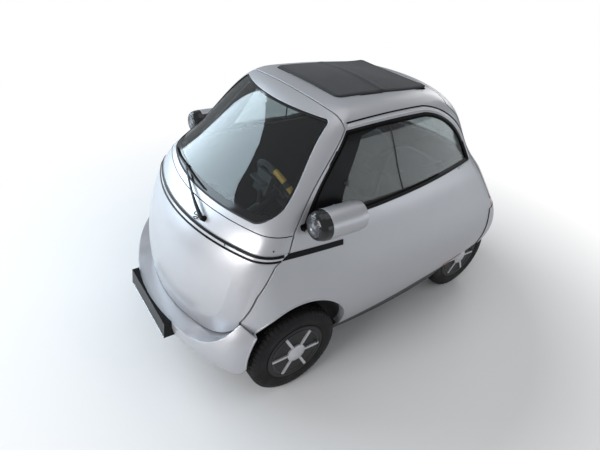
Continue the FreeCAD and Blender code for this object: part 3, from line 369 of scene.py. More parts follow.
def paintFinish(name, rolled=0.0, lined=True, corner=0.003):
    # Satin metallic lacquer with fine flakes outside, dark trim on the faces that look into the cabin
    form = bodyPaint
    colour = form["colour"]
    tree, shader = newMaterial(name, Coat_Weight=0.18, Coat_Roughness=0.22, Metallic=form["metal"])
    grain = useGroup(tree, "grain", Scale=form["flakeScale"], Patch_Scale=2.2)
    dusty = useGroup(tree, "dust", High=form["dustHigh"], Amount=form["dustAmount"])["Mask"]
    patches = rampNode(tree, grain["Patches"], 0.3, 0.7)
    surface = mixColour(tree, patches, shade(colour, 0.98), shade(colour, 1.02))
    flakes = rampNode(tree, grain["Height"], 0.45, 0.75, 0.0, 0.22)
    surface = mixColour(tree, flakes, surface, shade(colour, 1.25))
    surface = mixColour(tree, dusty, surface, dustColour)
    gloss = rampNode(tree, grain["Patches"], 0.3, 0.7, form["rough"], form["smooth"])
    if lined:
        inner = useGroup(tree, "inside")["Mask"]
        surface = mixColour(tree, inner, surface, form["trim"])
        gloss = rampNode(tree, inner, 0.0, 1.0, gloss, form["trimRough"])
        connect(tree, shader, Metallic=rampNode(tree, inner, 0.0, 1.0, form["metal"], 0.0))
    # The corners look rounded off, with the flakes' bump on them
    rounded = addNode(tree, "Bevel", {"Radius": corner}, samples=4).outputs["Normal"]
    normal = bumpNode(tree, grain["Height"], form["flakeDepth"], rounded)
    if rolled:
        normal = bumpNode(tree, useGroup(tree, "roll")["Height"], rolled, normal)
    connect(tree, shader, Base_Color=surface, Roughness=gloss, Normal=normal)


paintFinish("silverPaint")
paintFinish("doorPaint", rolled=18.0)
paintFinish("bumperPaint", lined=False, corner=0.009)
# Each plain finish: colour, roughness, grain scale and depth in millimetres, patch scale, colour and gloss
finish("glossBlack", (0.010, 0.010, 0.011), 0.12, 300.0, 0.006, 8.0, 0.2, 0.4, Coat_Weight=0.2,
       Coat_Roughness=0.05, Specular_IOR_Level=0.4)
finish("frameBlack", (0.006, 0.006, 0.007), 0.30, 500.0, 0.02, 6.0, 0.2, 0.2, Specular_IOR_Level=0.14)
finish("gasketBlack", (0.002, 0.002, 0.002), 0.55, 900.0, 0.03, 9.0, 0.15, 0.1, Specular_IOR_Level=0.05)
finish("satinBlack", (0.013, 0.013, 0.014), 0.36, 600.0, 0.02, 8.0, 0.15, 0.15)
finish("sealRubber", (0.014, 0.014, 0.015), 0.62, 900.0, 0.05, 9.0, 0.15, 0.1)
finish("darkPlastic", (0.026, 0.027, 0.029), 0.50, 1400.0, 0.06, 6.0, 0.12, 0.12, wear=0.25)
finish("chassisBlack", (0.018, 0.018, 0.019), 0.62, 500.0, 0.08, 6.0, 0.2, 0.15, dustAmount=0.5)
finish("castMetal", (0.32, 0.32, 0.33), 0.50, 700.0, 0.10, 9.0, 0.1, 0.15, dustAmount=0.4, Metallic=0.9)
finish("batteryCase", (0.05, 0.052, 0.055), 0.55, 600.0, 0.08, 5.0, 0.15, 0.15, dustAmount=0.6)
finish("floorCoat", (0.030, 0.030, 0.032), 0.88, 900.0, 0.25, 7.0, 0.2, 0.05)
finish("plateWhite", (0.80, 0.80, 0.78), 0.38, 500.0, 0.02, 6.0, 0.02, 0.1, dustAmount=0.1)
finish("chrome", (0.66, 0.67, 0.69), 0.14, 500.0, 0.004, 9.0, 0.03, 0.3, Metallic=1.0)
finish("lightWhite", (0.50, 0.51, 0.54), 0.16, 200.0, 0.01, 9.0, 0.05, 0.2, Coat_Weight=0.6,
       Coat_Roughness=0.05)
finish("lightRed", (0.42, 0.010, 0.012), 0.18, 250.0, 0.02, 9.0, 0.15, 0.2, Coat_Weight=0.7,
       Coat_Roughness=0.05)
# Base darker than plain rubber: painted shade of the dark wheel wells on the tyres
finish("tyreRubber", (0.008, 0.008, 0.009), 0.70, 900.0, 0.08, 9.0, 0.2, 0.1, dustAmount=0.06,
       Specular_IOR_Level=0.25)
finish("wheelBlack", (0.008, 0.008, 0.009), 0.34, 700.0, 0.015, 8.0, 0.2, 0.2, dustAmount=0.05,
       Specular_IOR_Level=0.3)
finish("wheelSilver", (0.56, 0.56, 0.58), 0.36, 800.0, 0.012, 7.0, 0.04, 0.12, Metallic=0.5)
finish("barSteel", (0.10, 0.10, 0.105), 0.40, 600.0, 0.02, 9.0, 0.05, 0.2, Metallic=0.6)
# Reflector bowls in a dim grey metal instead of a bright mirror: painted shade inside the lamp pods
finish("lampBowl", (0.20, 0.20, 0.21), 0.26, 500.0, 0.004, 9.0, 0.05, 0.3, Metallic=0.8)
finish("mirrorGlass", (0.86, 0.87, 0.88), 0.04, 100.0, 0.001, 6.0, 0.01, 0.3, Metallic=1.0)
finish("ochreTrim", (0.55, 0.33, 0.06), 0.48, 900.0, 0.03, 9.0, 0.12, 0.15)
finish("screenBlack", (0.05, 0.055, 0.06), 0.22, 300.0, 0.003, 6.0, 0.1, 0.3)
glassFinish("clearGlass", (0.55, 0.60, 0.60), 0.01)
glassFinish("lampGlass", (0.93, 0.95, 0.97), 0.02)
clothFinish("canvasCloth", (0.008, 0.008, 0.011), 2600.0, 0.85, 0.15, 0.10)
clothFinish("seatCloth", (0.018, 0.018, 0.020), 2600.0, 0.9, 0.03, 0.15)

# Finishes of the frame's nodes: by node, else by slot, else the one with the slot's own name
nodeFinish = dict(front_door="doorPaint", front_bumper="bumperPaint", plate_holders="frameBlack",
                  window_surrounds="frameBlack", side_strips="frameBlack")
slotFinish = dict(paint_silver="silverPaint", canvas="canvasCloth", lamp_lens="lampGlass",
                  seat_cover="seatCloth")


def finishOf(node, slotName):
    first, *rest = slotName.split("_")
    sameName = first + "".join(word.capitalize() for word in rest)
    return finishes[nodeFinish.get(node, slotFinish.get(slotName, sameName))]


def dressFrame():
    for row in frame["record"]["subparts"]:
        node = frame["nodes"][row["node"]]
        chosen = finishOf(row["node"], row["material_slot"])
        for place in node.material_slots:
            place.material = chosen
        if not node.material_slots:
            node.data.materials.append(chosen)


# Skins: where the frame's outer faces are, so that trim and seals lie on them
def facesOf(node):
    mesh = frame["nodes"][node].data
    keys = {}
    points, faces = [], []
    index = []
    for vertex in mesh.vertices:
        key = tuple(round(c * 20000) for c in vertex.co)
        if key not in keys:
            keys[key] = len(points)
            points.append(vertex.co.copy())
        index.append(keys[key])
    for face in mesh.polygons:
        corners = [index[i] for i in face.vertices]
        if len(set(corners)) == len(corners):
            faces.append(corners)
    return points, faces


def outerFaces(node, facing=0.45):
    # The faces that look away from the middle of the cabin
    points, faces = facesOf(node)
    kept = []
    for corners in faces:
        a, b, c = (points[i] for i in corners[:3])
        normal = (b - a).cross(c - a)
        middle = (a + b + c) / 3
        beyond = math.copysign(max(0.0, abs(middle.y) - cabin["half"]), middle.y)
        away = Vector((middle.x, beyond, middle.z - cabin["height"]))
        if normal.length > 1e-12 and normal.normalized().dot(away.normalized()) > facing:
            kept.append(corners)
    return points, kept


def edgeLoops(points, faces):
    # The closed border lines of a patch of faces, longest first
    count = {}
    for corners in faces:
        for a, b in zip(corners, corners[1:] + corners[:1]):
            key = (min(a, b), max(a, b))
            count[key] = (count[key][0] + 1, a, b) if key in count else (1, a, b)
    following = {}
    for times, a, b in count.values():
        if times == 1:
            following.setdefault(a, []).append(b)
    loops = []
    while following:
        start = next(iter(following))
        loop, here = [start], start
        while here in following:
            there = following[here].pop()
            if not following[here]:
                del following[here]
            if there == start:
                break
            loop.append(there)
            here = there
        loops.append([points[i] for i in loop])
    return sorted(loops, key=lambda loop: -pathLength(loop, True))


def pathLength(path, closed):
    ends = path[1:] + path[:1] if closed else path[1:]
    return sum((b - a).length for a, b in zip(path, ends))


def evenly(path, step, closed):
    # The same line with points at even steps
    ring = path + path[:1] if closed else path
    lengths = np.concatenate([[0], np.cumsum([(b - a).length for a, b in zip(ring, ring[1:])])])
    count = max(4, round(lengths[-1] / step))
    wanted = np.linspace(0, lengths[-1], count + 1)
    if closed:
        wanted = wanted[:-1]
    ring = np.array(ring)
    return [Vector([np.interp(w, lengths, ring[:, axis]) for axis in range(3)]) for w in wanted]


class Skin:
    # The outer faces of some nodes, for finding the nearest place on them or where a ray meets them
    def __init__(self, *nodes, facing=0.45):
        points, faces = [], []
        for node in nodes:
            found, kept = outerFaces(node, facing)
            faces += [[i + len(points) for i in corners] for corners in kept]
            points += found
        self.tree = BVHTree.FromPolygons(points, faces)

    def near(self, point):
        return self.tree.find_nearest(point)[:2]

    def fromAbove(self, point):
        return self.tree.ray_cast(Vector((point.x, point.y, 2.6)), Vector((0, 0, -1)))[:2]

    def fromSide(self, point):
        side = math.copysign(1, point.x)
        return self.tree.ray_cast(Vector((2 * side, point.y, point.z)), Vector((-side, 0, 0)))[:2]

    def around(self, degrees, z, middle=-250):
        # Ray towards a point on the car's middle line; 0 degrees is straight ahead, 90 the left side
        turn = math.radians(degrees)
        away = Vector((math.sin(turn), -math.cos(turn), 0))
        return self.tree.ray_cast(at(0, middle, z) + away * 3, -away)[:2]


def addPiece(name, points, faces, body, finishName, slotName):
    mesh = bpy.data.meshes.new(name)
    mesh.from_pydata([tuple(p) for p in points], [], faces)
    mesh.validate()
    mesh.polygons.foreach_set("use_smooth", [True] * len(mesh.polygons))
    mesh.materials.append(finishes[finishName])
    piece = bpy.data.objects.new(name, mesh)
    scene.collection.objects.link(piece)
    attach(piece, body)
    return piece


def sharpEdges(piece, degrees):
    # Keeps edges over this angle sharp
    piece.data.set_sharp_from_angle(angle=math.radians(degrees))


def smoothed(normals, closed, rounds=3):
    for _ in range(rounds):
        before = normals[-1:] + normals[:-1] if closed else normals[:1] + normals[:-1]
        after = normals[1:] + normals[:1] if closed else normals[1:] + normals[-1:]
        normals = [(a + 2 * b + c).normalized() for a, b, c in zip(before, normals, after)]
    return normals


def frames(line, closed):
    # Point, outward normal and sideways direction at each point of a line of (point, normal)
    points = [p for p, n in line]
    normals = smoothed([n for p, n in line], closed)
    count = len(points)
    result = []
    for i, (point, normal) in enumerate(zip(points, normals)):
        after = points[(i + 1) % count] if closed or i + 1 < count else point
        before = points[i - 1] if closed or i > 0 else point
        along = (after - before).normalized()
        aside = normal.cross(along).normalized()
        result.append((point, normal, aside))
    return result


def sweep(line, profile, closed):
    # Points and faces of a profile of (aside, up) in millimetres, carried along a line on the skin
    stations = frames(line, closed)
    points = []
    for point, normal, aside in stations:
        points += [point + aside * (a / 1000) + normal * (b / 1000) for a, b in profile]
    faces = quads(len(stations), len(profile), closed, True)
    return points, faces if closed else faces + ends(len(stations), len(profile))


def quads(count, size, around, closed):
    # Faces between stations of size points each; around joins the last station to the first, and closed
    # the last point of each station to its first
    faces = []
    for i in range(count if around else count - 1):
        after = (i + 1) % count
        for k in range(size if closed else size - 1):
            beside = (k + 1) % size
            faces.append((i * size + k, i * size + beside, after * size + beside, after * size + k))
    return faces


def turnedOver(faces):
    # The same faces seen from the other side, each with its first corner kept first
    return [(first, *reversed(rest)) for first, *rest in faces]


def ends(count, size):
    # The two faces that close the first and the last station
    return [tuple(reversed(range(size))), tuple(range((count - 1) * size, count * size))]


def roundBead(width, height, sunk, steps=6):
    # A low rounded strip, its foot a little below the skin
    turns = [math.pi * k / steps for k in range(steps + 1)]
    arc = [(-math.cos(turn) * width / 2, math.sin(turn) * height) for turn in turns]
    return [(-width / 2, -sunk)] + arc + [(width / 2, -sunk)]


def flatStrip(width, height, sunk=1.0, bevel=0.8):
    half = width / 2
    return [(-half, -sunk), (-half, height - bevel), (-half + bevel, height), (half - bevel, height),
            (half, height - bevel), (half, -sunk)]


def onSkin(skin, path):
    return [skin.near(point) for point in path]


def strip(name, line, profile, body, finishName, slotName, closed=False):
    points, faces = sweep(line, profile, closed)
    return addPiece(name, points, faces, body, finishName, slotName)


def band(name, skin, loop, insets, lift, body, finishName, slotName):
    # A flat printed band that follows a closed border and reaches inwards over the skin
    stations = frames(onSkin(skin, loop), True)
    middle = sum((station[0] for station in stations), Vector()) / len(stations)
    points = []
    for point, normal, aside in stations:
        inward = aside if aside.dot(middle - point) > 0 else -aside
        for inset in insets:
            place = skin.near(point + inward * (inset / 1000))[0]
            points.append(place + normal * (lift / 1000))
    return addPiece(name, points, quads(len(stations), len(insets), True, False), body, finishName, slotName)


def lathe(profile, turns, centre, side):
    # Points and faces of a profile of (outward, radius) in millimetres turned about the wheel's axle
    points = []
    for i in range(turns):
        angle = 2 * math.pi * i / turns
        for out, radius in profile:
            spoke = Vector((side * out, radius * math.cos(angle), radius * math.sin(angle)))
            points.append(centre + spoke / 1000)
    faces = quads(turns, len(profile), True, True)
    return points, faces if side > 0 else turnedOver(faces)


def shifted(loop, distance):
    # Places beside a closed line on the car's side, outwards when the distance is positive
    middle = sum(loop, Vector()) / len(loop)
    moved = []
    for i, point in enumerate(loop):
        along = loop[(i + 1) % len(loop)] - loop[i - 1]
        aside = Vector((0, along.z, -along.y)).normalized()
        outward = aside if aside.dot(point - middle) > 0 else -aside
        moved.append(point + outward * (distance / 1000))
    return moved


# Printed borders of the two screens, and the seals round every pane
screenTrim = dict(step=0.012, insets=(0.3, 10, 20, 31, 42), lift=0.7, seal=(13, 3.0, 3), paneSeal=(8, 2.2, 3),
                  shortest=0.5)


def trimGlass():
    form = screenTrim
    for node, body in (("windscreen", "front_door"), ("tail_glass", "tail_door")):
        points, faces = outerFaces(node)
        loop = evenly(edgeLoops(points, faces)[0], form["step"], True)
        skin = Skin(node)
        band(node + "Border", skin, loop, form["insets"], form["lift"], body, "glossBlack", "gloss_black")
        strip(node + "Seal", onSkin(skin, loop), roundBead(*form["seal"]), body, "sealRubber", "gloss_black",
              True)
    points, faces = outerFaces("side_glass")
    skin = Skin("side_glass")
    panes = [loop for loop in edgeLoops(points, faces) if pathLength(loop, True) > form["shortest"]]
    for number, loop in enumerate(panes):
        line = onSkin(skin, evenly(loop, form["step"], True))
        strip("sideGlassSeal" + str(number), line, roundBead(*form["paneSeal"]), "car_body", "sealRubber",
              "gloss_black", True)


# Lines round the front: a black strip painted as the shade in the groove under the screen, dark edges of the
# light bar, and its divider
frontLines = dict(steps=90, groove=("screenGroove", 988, 62, 4.5, 1.2),  # piece, height, turn, width, proud
                  barLines=[("barTopLine", 905.5, 57.5, 14, 2.4), ("barLowLine", 884.5, 57.5, 10.5, 2.4)],
                  divider=(223.8, 245.5), dividerHeight=896, dividerHalf=9, dividerSize=(5, 1.6))


def trimFront():
    form = frontLines
    bar = Skin("front_light_bar", facing=0.2)
    # The groove under the screen is a proud black strip: painted shade, not a cut groove
    lines = [(Skin("front_door", "windscreen", facing=0.2), *form["groove"])]
    lines += [(bar, *row) for row in form["barLines"]]
    shares = np.linspace(-1, 1, form["steps"] * 2 + 1)
    for skin, name, height, turn, width, proud in lines:
        found = [skin.around(turn * share, height) for share in shares]
        line = [(place, normal) for place, normal in found if place is not None]
        strip(name, line, flatStrip(width, proud), "front_door", "frameBlack", "gloss_black")
    spot, normal = bar.near(fromPixel(*form["divider"], form["dividerHeight"]))
    half = form["dividerHalf"] / 1000
    line = [(spot + Vector((0, 0, z)), normal) for z in (-half, 0, half)]
    strip("barDivider", line, flatStrip(*form["dividerSize"]), "front_door", "satinBlack", "gloss_black")


# Trim round the side windows: edge strip and gasket, a lighter silver bead painted as the highlight, and
# above it a matte black strip painted as the gutter's shade
sideTrim = dict(step=0.012, edge=(13, 3.6, 2), doorGap=8, sunk=2,
                # piece, outwards, width, height, lowest z in metres, finish, slot
                lines=[("windowGasket", -15, 13, 2.2, 0.8, "gasketBlack", "gloss_black"),
                       # Lighter silver bead: a painted highlight along the gutter
                       ("windowBright", 15, 15.0, 4.0, 1.06, "wheelSilver", "wheel_silver"),
                       # Matte black strip: the gutter's painted shade
                       ("windowGutter", 26, 8.0, 2.4, 1.06, "gasketBlack", "gloss_black")])


def trimSides():
    form = sideTrim
    points, faces = outerFaces("window_surrounds")
    outer = Skin("body_shell", "window_surrounds", facing=0.2)
    whole = Skin("body_shell", "window_surrounds", facing=-2)
    door = Skin("front_door", facing=-2)
    for side, name in bothSides:
        kept = [corners for corners in faces if points[corners[0]].x * side > 0]
        loop = evenly(edgeLoops(points, kept)[0], form["step"], True)
        strip("windowEdge" + name, onSkin(outer, loop), roundBead(*form["edge"]), "car_body", "frameBlack",
              "gloss_black", True)
        for piece, out, width, height, lowest, finishName, slotName in form["lines"]:
            found = [whole.fromSide(point) for point in shifted(loop, out) if point.z > lowest]
            reach = (form["doorGap"] + width / 2) / 1000
            line = [(p, n) for p, n in found if p is not None and (door.near(p)[0] - p).length > reach]
            start = max(range(len(line)), key=lambda i: (line[i][0] - line[i - 1][0]).length)
            bead = roundBead(width, height, form["sunk"])
            strip(piece + name, line[start:] + line[:start], bead, "car_body", finishName, slotName)


def turnedOn(point, normal, profile, turns=40):
    # Points and faces of a profile of (radius, up) in millimetres turned about a line through a point
    normal = normal.normalized()
    across = normal.orthogonal().normalized()
    third = normal.cross(across)
    points = []
    size = len(profile)
    for i in range(turns):
        angle = 2 * math.pi * i / turns
        spoke = across * math.cos(angle) + third * math.sin(angle)
        points += [point + spoke * (r / 1000) + normal * (up / 1000) for r, up in profile]
    faces = turnedOver(quads(turns, size, True, False))
    faces.append(tuple(i * size for i in range(turns)))
    faces.append(tuple(reversed([i * size + size - 1 for i in range(turns)])))
    return points, faces


def curveThrough(route, steps):
    # A smooth line through a few chosen points
    route = [Vector(p) for p in route]
    ends = [2 * route[0] - route[1]] + route + [2 * route[-1] - route[-2]]
    line = []
    for a, b, c, d in zip(ends, ends[1:], ends[2:], ends[3:]):
        for step in range(steps):
            t = step / steps
            line.append(0.5 * (2 * b + (c - a) * t + (2 * a - 5 * b + 4 * c - d) * t ** 2
                               + (3 * b - a - 3 * c + d) * t ** 3))
    return line + [route[-1]]


def tube(line, radii, up=Vector((0, 0, 1)), sides=14, flat=1.0):
    # Points and faces of a round or flattened bar along a line, with a radius at each point
    points = []
    for i, place in enumerate(line):
        along = (line[min(i + 1, len(line) - 1)] - line[max(i - 1, 0)]).normalized()
        aside = along.cross(up).normalized()
        over = aside.cross(along)
        for k in range(sides):
            turn = 2 * math.pi * k / sides
            points.append(place + (aside * math.cos(turn) + over * math.sin(turn) * flat) * (radii[i] / 1000))
    return points, quads(len(line), sides, False, True) + ends(len(line), sides)


def joined(*parts):
    points, faces = [], []
    for more, others in parts:
        faces += [tuple(i + len(points) for i in face) for face in others]
        points += more
    return points, faces


# Canvas roof: one sheet over its bow, rolled down at the edge, with a sewn hem
canvasForm = dict(half=277, front=-387, rear=263, corner=34, columns=56, rows=96, bow=-78, bowWidth=17,
                  bowRise=5.0, sag=2.2, roll=12, drop=9, lift=0.8, hemInset=15, hem=(2.6, 0.9, 0.5),
                  hemStep=12, flat=(0.585, 0.69))


def smoothTop(skin, form):
    # The canvas's height as one smooth surface, fitted to the frame's faceted one
    def powers(x, y):
        across, along = (x / 300) ** 2, y / 400
        return [1, along, along ** 2, along ** 3, along ** 4, across, across * along, across * along ** 2,
                across ** 2]

    rows, heights = [], []
    for x in np.linspace(-form["half"] + 8, form["half"] - 8, 23):
        for y in np.linspace(form["front"] + 12, form["rear"] - 12, 31):
            place = skin.fromAbove(at(x, y, 0))[0]
            if place is not None:
                rows.append(powers(x, y))
                heights.append(place.z)
    shares = np.linalg.lstsq(np.array(rows), np.array(heights), rcond=None)[0]
    return lambda x, y: float(np.dot(powers(x, y), shares))


def canvasRing(form):
    # The hem's way round the sheet, with rounded corners
    reach = form["half"] - form["hemInset"]
    front, rear = form["front"] + form["hemInset"], form["rear"] - form["hemInset"]
    soft = form["corner"] - form["hemInset"] + 8
    ring = []
    for cx, cy, start in ((reach - soft, front + soft, -90), (reach - soft, rear - soft, 0),
                          (-reach + soft, rear - soft, 90), (-reach + soft, front + soft, 180)):
        for step in range(9):
            turn = math.radians(start + 90 * step / 8)
            ring.append(Vector((cx + soft * math.cos(turn), cy + soft * math.sin(turn), 0)))
    return evenly(ring, form["hemStep"], True)


def canvasRoof():
    form = canvasForm
    height = smoothTop(Skin("canvas_roof", facing=0.4), form)
    columns = np.sin(np.linspace(-1, 1, form["columns"] + 1) * math.pi / 2) * form["half"]
    shares = (np.sin(np.linspace(-1, 1, form["rows"] + 1) * math.pi / 2) + 1) / 2
    points = []
    for x in columns:
        over = max(0.0, abs(x) - (form["half"] - form["corner"]))
        inset = form["corner"] - math.sqrt(max(0.0, form["corner"] ** 2 - over ** 2))
        for share in shares:
            y = form["front"] + inset + share * (form["rear"] - form["front"] - 2 * inset)
            edge = min(form["half"] - abs(x), y - form["front"] - inset, form["rear"] - inset - y)
            roll = min(1.0, max(0.0, edge) / form["roll"])
            low = form["drop"] * (1 - math.sqrt(1 - (1 - roll) ** 2)) - form["lift"]
            bow = form["bowRise"] * math.exp(-((y - form["bow"]) / form["bowWidth"]) ** 2)
            end = form["front"] if y < form["bow"] else form["rear"]
            along = math.sin(math.pi * (y - end) / (form["bow"] - end)) ** 2
            sag = form["sag"] * along * math.cos(math.pi * x / 2 / form["half"])
            points.append(at(x, y, height(x, y) * 1000 + (bow - sag) * roll - low))
    faces = turnedOver(quads(form["columns"] + 1, form["rows"] + 1, False, False))
    roof = addPiece("canvasSheet", points, faces, "car_body", "canvasCloth", "canvas")
    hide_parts("canvas_roof")
    grid = BVHTree.FromPolygons(points, faces)
    line = [grid.ray_cast(at(p.x, p.y, 2600), Vector((0, 0, -1)))[:2] for p in canvasRing(form)]
    hem = strip("canvasHem", line, roundBead(*form["hem"]), "car_body", "sealRubber", "canvas", True)


# Tyres: grooved tread with shoulder blocks, and stepped sidewalls with a rim guard
tyreForm = dict(radius=266, blocks=58, grooves=(-32, -11, 11, 32), grooveWidth=5.5, grooveDepth=6,
                crown=0.0011, sipeFrom=32, sipeAbove=246, notchTo=30, notchAbove=262, blockDrop=5,
                notchDrop=3)
wheelPlaces = [("front_left", 595.0, frontAxle, 1), ("front_right", -595.0, frontAxle, -1),
               ("rear_left", 448.0, rearAxle, 1), ("rear_right", -448.0, rearAxle, -1)]


def tyreProfile():
    form = tyreForm
    side = [(50, 169), (57, 171), (60.5, 176), (61.5, 184), (63.5, 186), (64.5, 191), (64.5, 203),
            (65.8, 205), (66.6, 214), (66.4, 226), (64.6, 238), (63.8, 239), (61.6, 247), (57.5, 255),
            (51, 260.5), (45, 262.6)]
    tread = []
    for middle in reversed(form["grooves"]):
        top = form["radius"] - form["crown"] * middle ** 2
        half, foot = form["grooveWidth"] / 2, top - form["grooveDepth"]
        tread += [(middle + half, top), (middle + half - 0.8, foot), (middle - half + 0.8, foot),
                  (middle - half, top)]
    inside = [(-44, 171), (-56, 205), (-54, 238), (-38, 252), (38, 252), (54, 238), (56, 205), (44, 171)]
    return side + tread + [(-out, r) for out, r in reversed(side)] + inside


def tyres():
    form = tyreForm
    profile = tyreProfile()
    size, turns = len(profile), form["blocks"] * 5
    for place, x, y, side in wheelPlaces:
        centre = at(x, y, form["radius"])
        points, faces = lathe(profile, turns, centre, side)
        for i in range(turns):
            for k, (out, radius) in enumerate(profile):
                sipe = i % 5 == 0 and radius > form["sipeAbove"] and abs(out) > form["sipeFrom"]
                notch = i % 5 == 3 and radius > form["notchAbove"] and abs(out) < form["notchTo"]
                if sipe or notch:
                    spoke = points[i * size + k] - centre
                    spoke.x = 0
                    drop = form["blockDrop"] if sipe else form["notchDrop"]
                    points[i * size + k] -= spoke.normalized() * (drop / 1000)
        tyre = addPiece("tyre_" + place + "_tread", points, faces, "wheel_" + place, "tyreRubber",
                        "tyre_rubber")
        sharpEdges(tyre, 38)
        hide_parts("tyre_" + place)


# Wheel details: pressed rings on the disc, bolts round the cap, and a valve stem
discForm = dict(face=62.6, bolts=6, boltCircle=62, ringInner=138, ringOuter=147, ringRise=2.2,
                valve=(128, 20), bolt=[(6.5, -1), (6.5, 2.5), (5.2, 3.8), (3.4, 3.8), (2.8, 2.2), (0.2, 2.2)],
                stem=[(5, -1), (5, 3), (3.2, 5), (3.2, 17), (2.4, 18), (0.2, 18)])


def wheelDetails():
    form = discForm
    raised = form["face"] + form["ringRise"]
    ring = [(form["face"], form["ringInner"]), (raised, form["ringInner"] + 2),
            (raised, form["ringOuter"] - 2), (form["face"], form["ringOuter"])]
    for place, x, y, side in wheelPlaces:
        centre = at(x, y, tyreForm["radius"])
        out = Vector((side, 0, 0))
        disc = centre + out * (form["face"] / 1000)
        parts = [lathe(ring, 72, centre, side)]
        for number in range(form["bolts"]):
            turn = 2 * math.pi * number / form["bolts"]
            spoke = Vector((0, math.cos(turn), math.sin(turn)))
            parts.append(turnedOn(disc + spoke * (form["boltCircle"] / 1000), out, form["bolt"], 12))
        parts.append(turnedOn(disc + Vector((0, *form["valve"])) / 1000, out, form["stem"], 12))
        piece = addPiece("wheelRing_" + place, *joined(*parts), "wheel_" + place, "satinBlack", "wheel_black")
        sharpEdges(piece, 40)


# Rolled lips round the front wheel arches, on the painted sides
archForm = dict(y=-730, z=325, radius=305.5, bead=(10, 2.4, 2), first=-52, last=196, step=2.0, outside=0.5)


def archLips():
    form = archForm
    skin = Skin("body_shell", "front_bumper", facing=0.15)
    for side, name in bothSides:
        line = []
        for degrees in np.arange(form["first"], form["last"], form["step"]):
            turn = math.radians(degrees)
            y, z = form["y"] + form["radius"] * math.cos(turn), form["z"] + form["radius"] * math.sin(turn)
            place, normal = skin.fromSide(at(side, y, z))
            if place is not None and abs(place.x) > form["outside"]:
                line.append((place, normal))
        strip("archLip" + name, line, roundBead(*form["bead"]), "car_body", "silverPaint", "paint_silver")


# Headlamp pods: a reflector bowl with a projector, dimmed as painted shade inside the pod, and a ribbed glass
# in front
podForm = dict(x=650, z=1060, front=-740, rings=9, ringStep=5, dome=3.6,
               bowl=[(45, -20), (45, -3), (43.5, -3), (40, -9), (33, -14), (24, -17), (19, -17.5), (19, -9),
                     (18, -8), (12, -5), (6, -3.6), (0.3, -3.2)])


def podLamps():
    form = podForm
    ahead = Vector((0, -1, 0))
    glassProfile = [(46, -6), (46, 0.5)]
    for k in range(form["rings"]):
        radius = 45 - form["ringStep"] * k
        rise = 4.4 - (radius / 46) ** 2 * form["dome"]
        glassProfile += [(radius, rise), (radius - 1.2, rise + 1.1), (radius - 3.8, rise + 1.1)]
    glassProfile.append((0.3, 5.6))
    spots = [at(side * form["x"], form["front"], form["z"]) for side in (1, -1)]
    bowls = [turnedOn(spot, ahead, form["bowl"], 64) for spot in spots]
    bowl = addPiece("podReflectors", *joined(*bowls), "car_body", "lampBowl", "mirror_glass")
    sharpEdges(bowl, 35)
    glasses = [turnedOn(spot, ahead, glassProfile, 72) for spot in spots]
    glass = addPiece("podGlasses", *joined(*glasses), "car_body", "lampGlass", "lamp_lens")
    sharpEdges(glass, 30)
    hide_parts("pod_lenses")


# Small round fittings: latch knob on the front pane, lock in the front door's edge
fittings = dict(knobPlace=(524, -485, 1170), knob=[(15, -1), (15, 6), (13, 9.5), (8, 11), (0.3, 11.4)],
                lockPlace=(580, -890, 933), lock=[(4.2, -1), (4.2, 0.8), (3.2, 1.4), (0.3, 0.6)])


def smallFittings():
    form = fittings
    pane = Skin("side_glass", facing=0.2)
    x, y, z = form["knobPlace"]
    for side, name in bothSides:
        place, normal = pane.near(at(side * x, y, z))
        knob = addPiece("paneKnob" + name, *turnedOn(place, normal, form["knob"], 32), "car_body",
                        "satinBlack", "gloss_black")
        sharpEdges(knob, 35)
    place, normal = Skin("front_door", facing=0.2).near(at(*form["lockPlace"]))
    lock = addPiece("doorLock", *turnedOn(place, normal, form["lock"], 24), "front_door", "glossBlack",
                    "gloss_black")
    sharpEdges(lock, 35)


# Wiper: cap on its pivot, tapered arm, blade carrier and rubber, and the washer's little ring
wiperForm = dict(pivot=(213, -1053, 938), elbow=(70, -1030, 985), tip=(-158, -995, 1056),
                 armRise=(21, 24, 16),
                 cap=[(15, -2), (15, 5), (13, 9), (12, 19), (9.5, 24), (4, 26), (0.3, 26.4)],
                 clip=[(8, -3), (8, 6), (6, 9), (0.3, 9.5)], armRadii=[11.5, 10.0, 7.5, 5.0],
                 blade=[(-422, -936, 1034), (-300, -972, 1043), (-158, -990, 1047), (-20, -1004, 1045),
                        (97, -1008, 1040)],
                 carrierRise=12.5, carrierRadii=[3.0, 6.5, 3.0], rubberRise=5, rubberRadius=2.6,
                 washer=(164, -1065, 932), ringRadius=19, ringRise=9, hoseRadius=2.4)


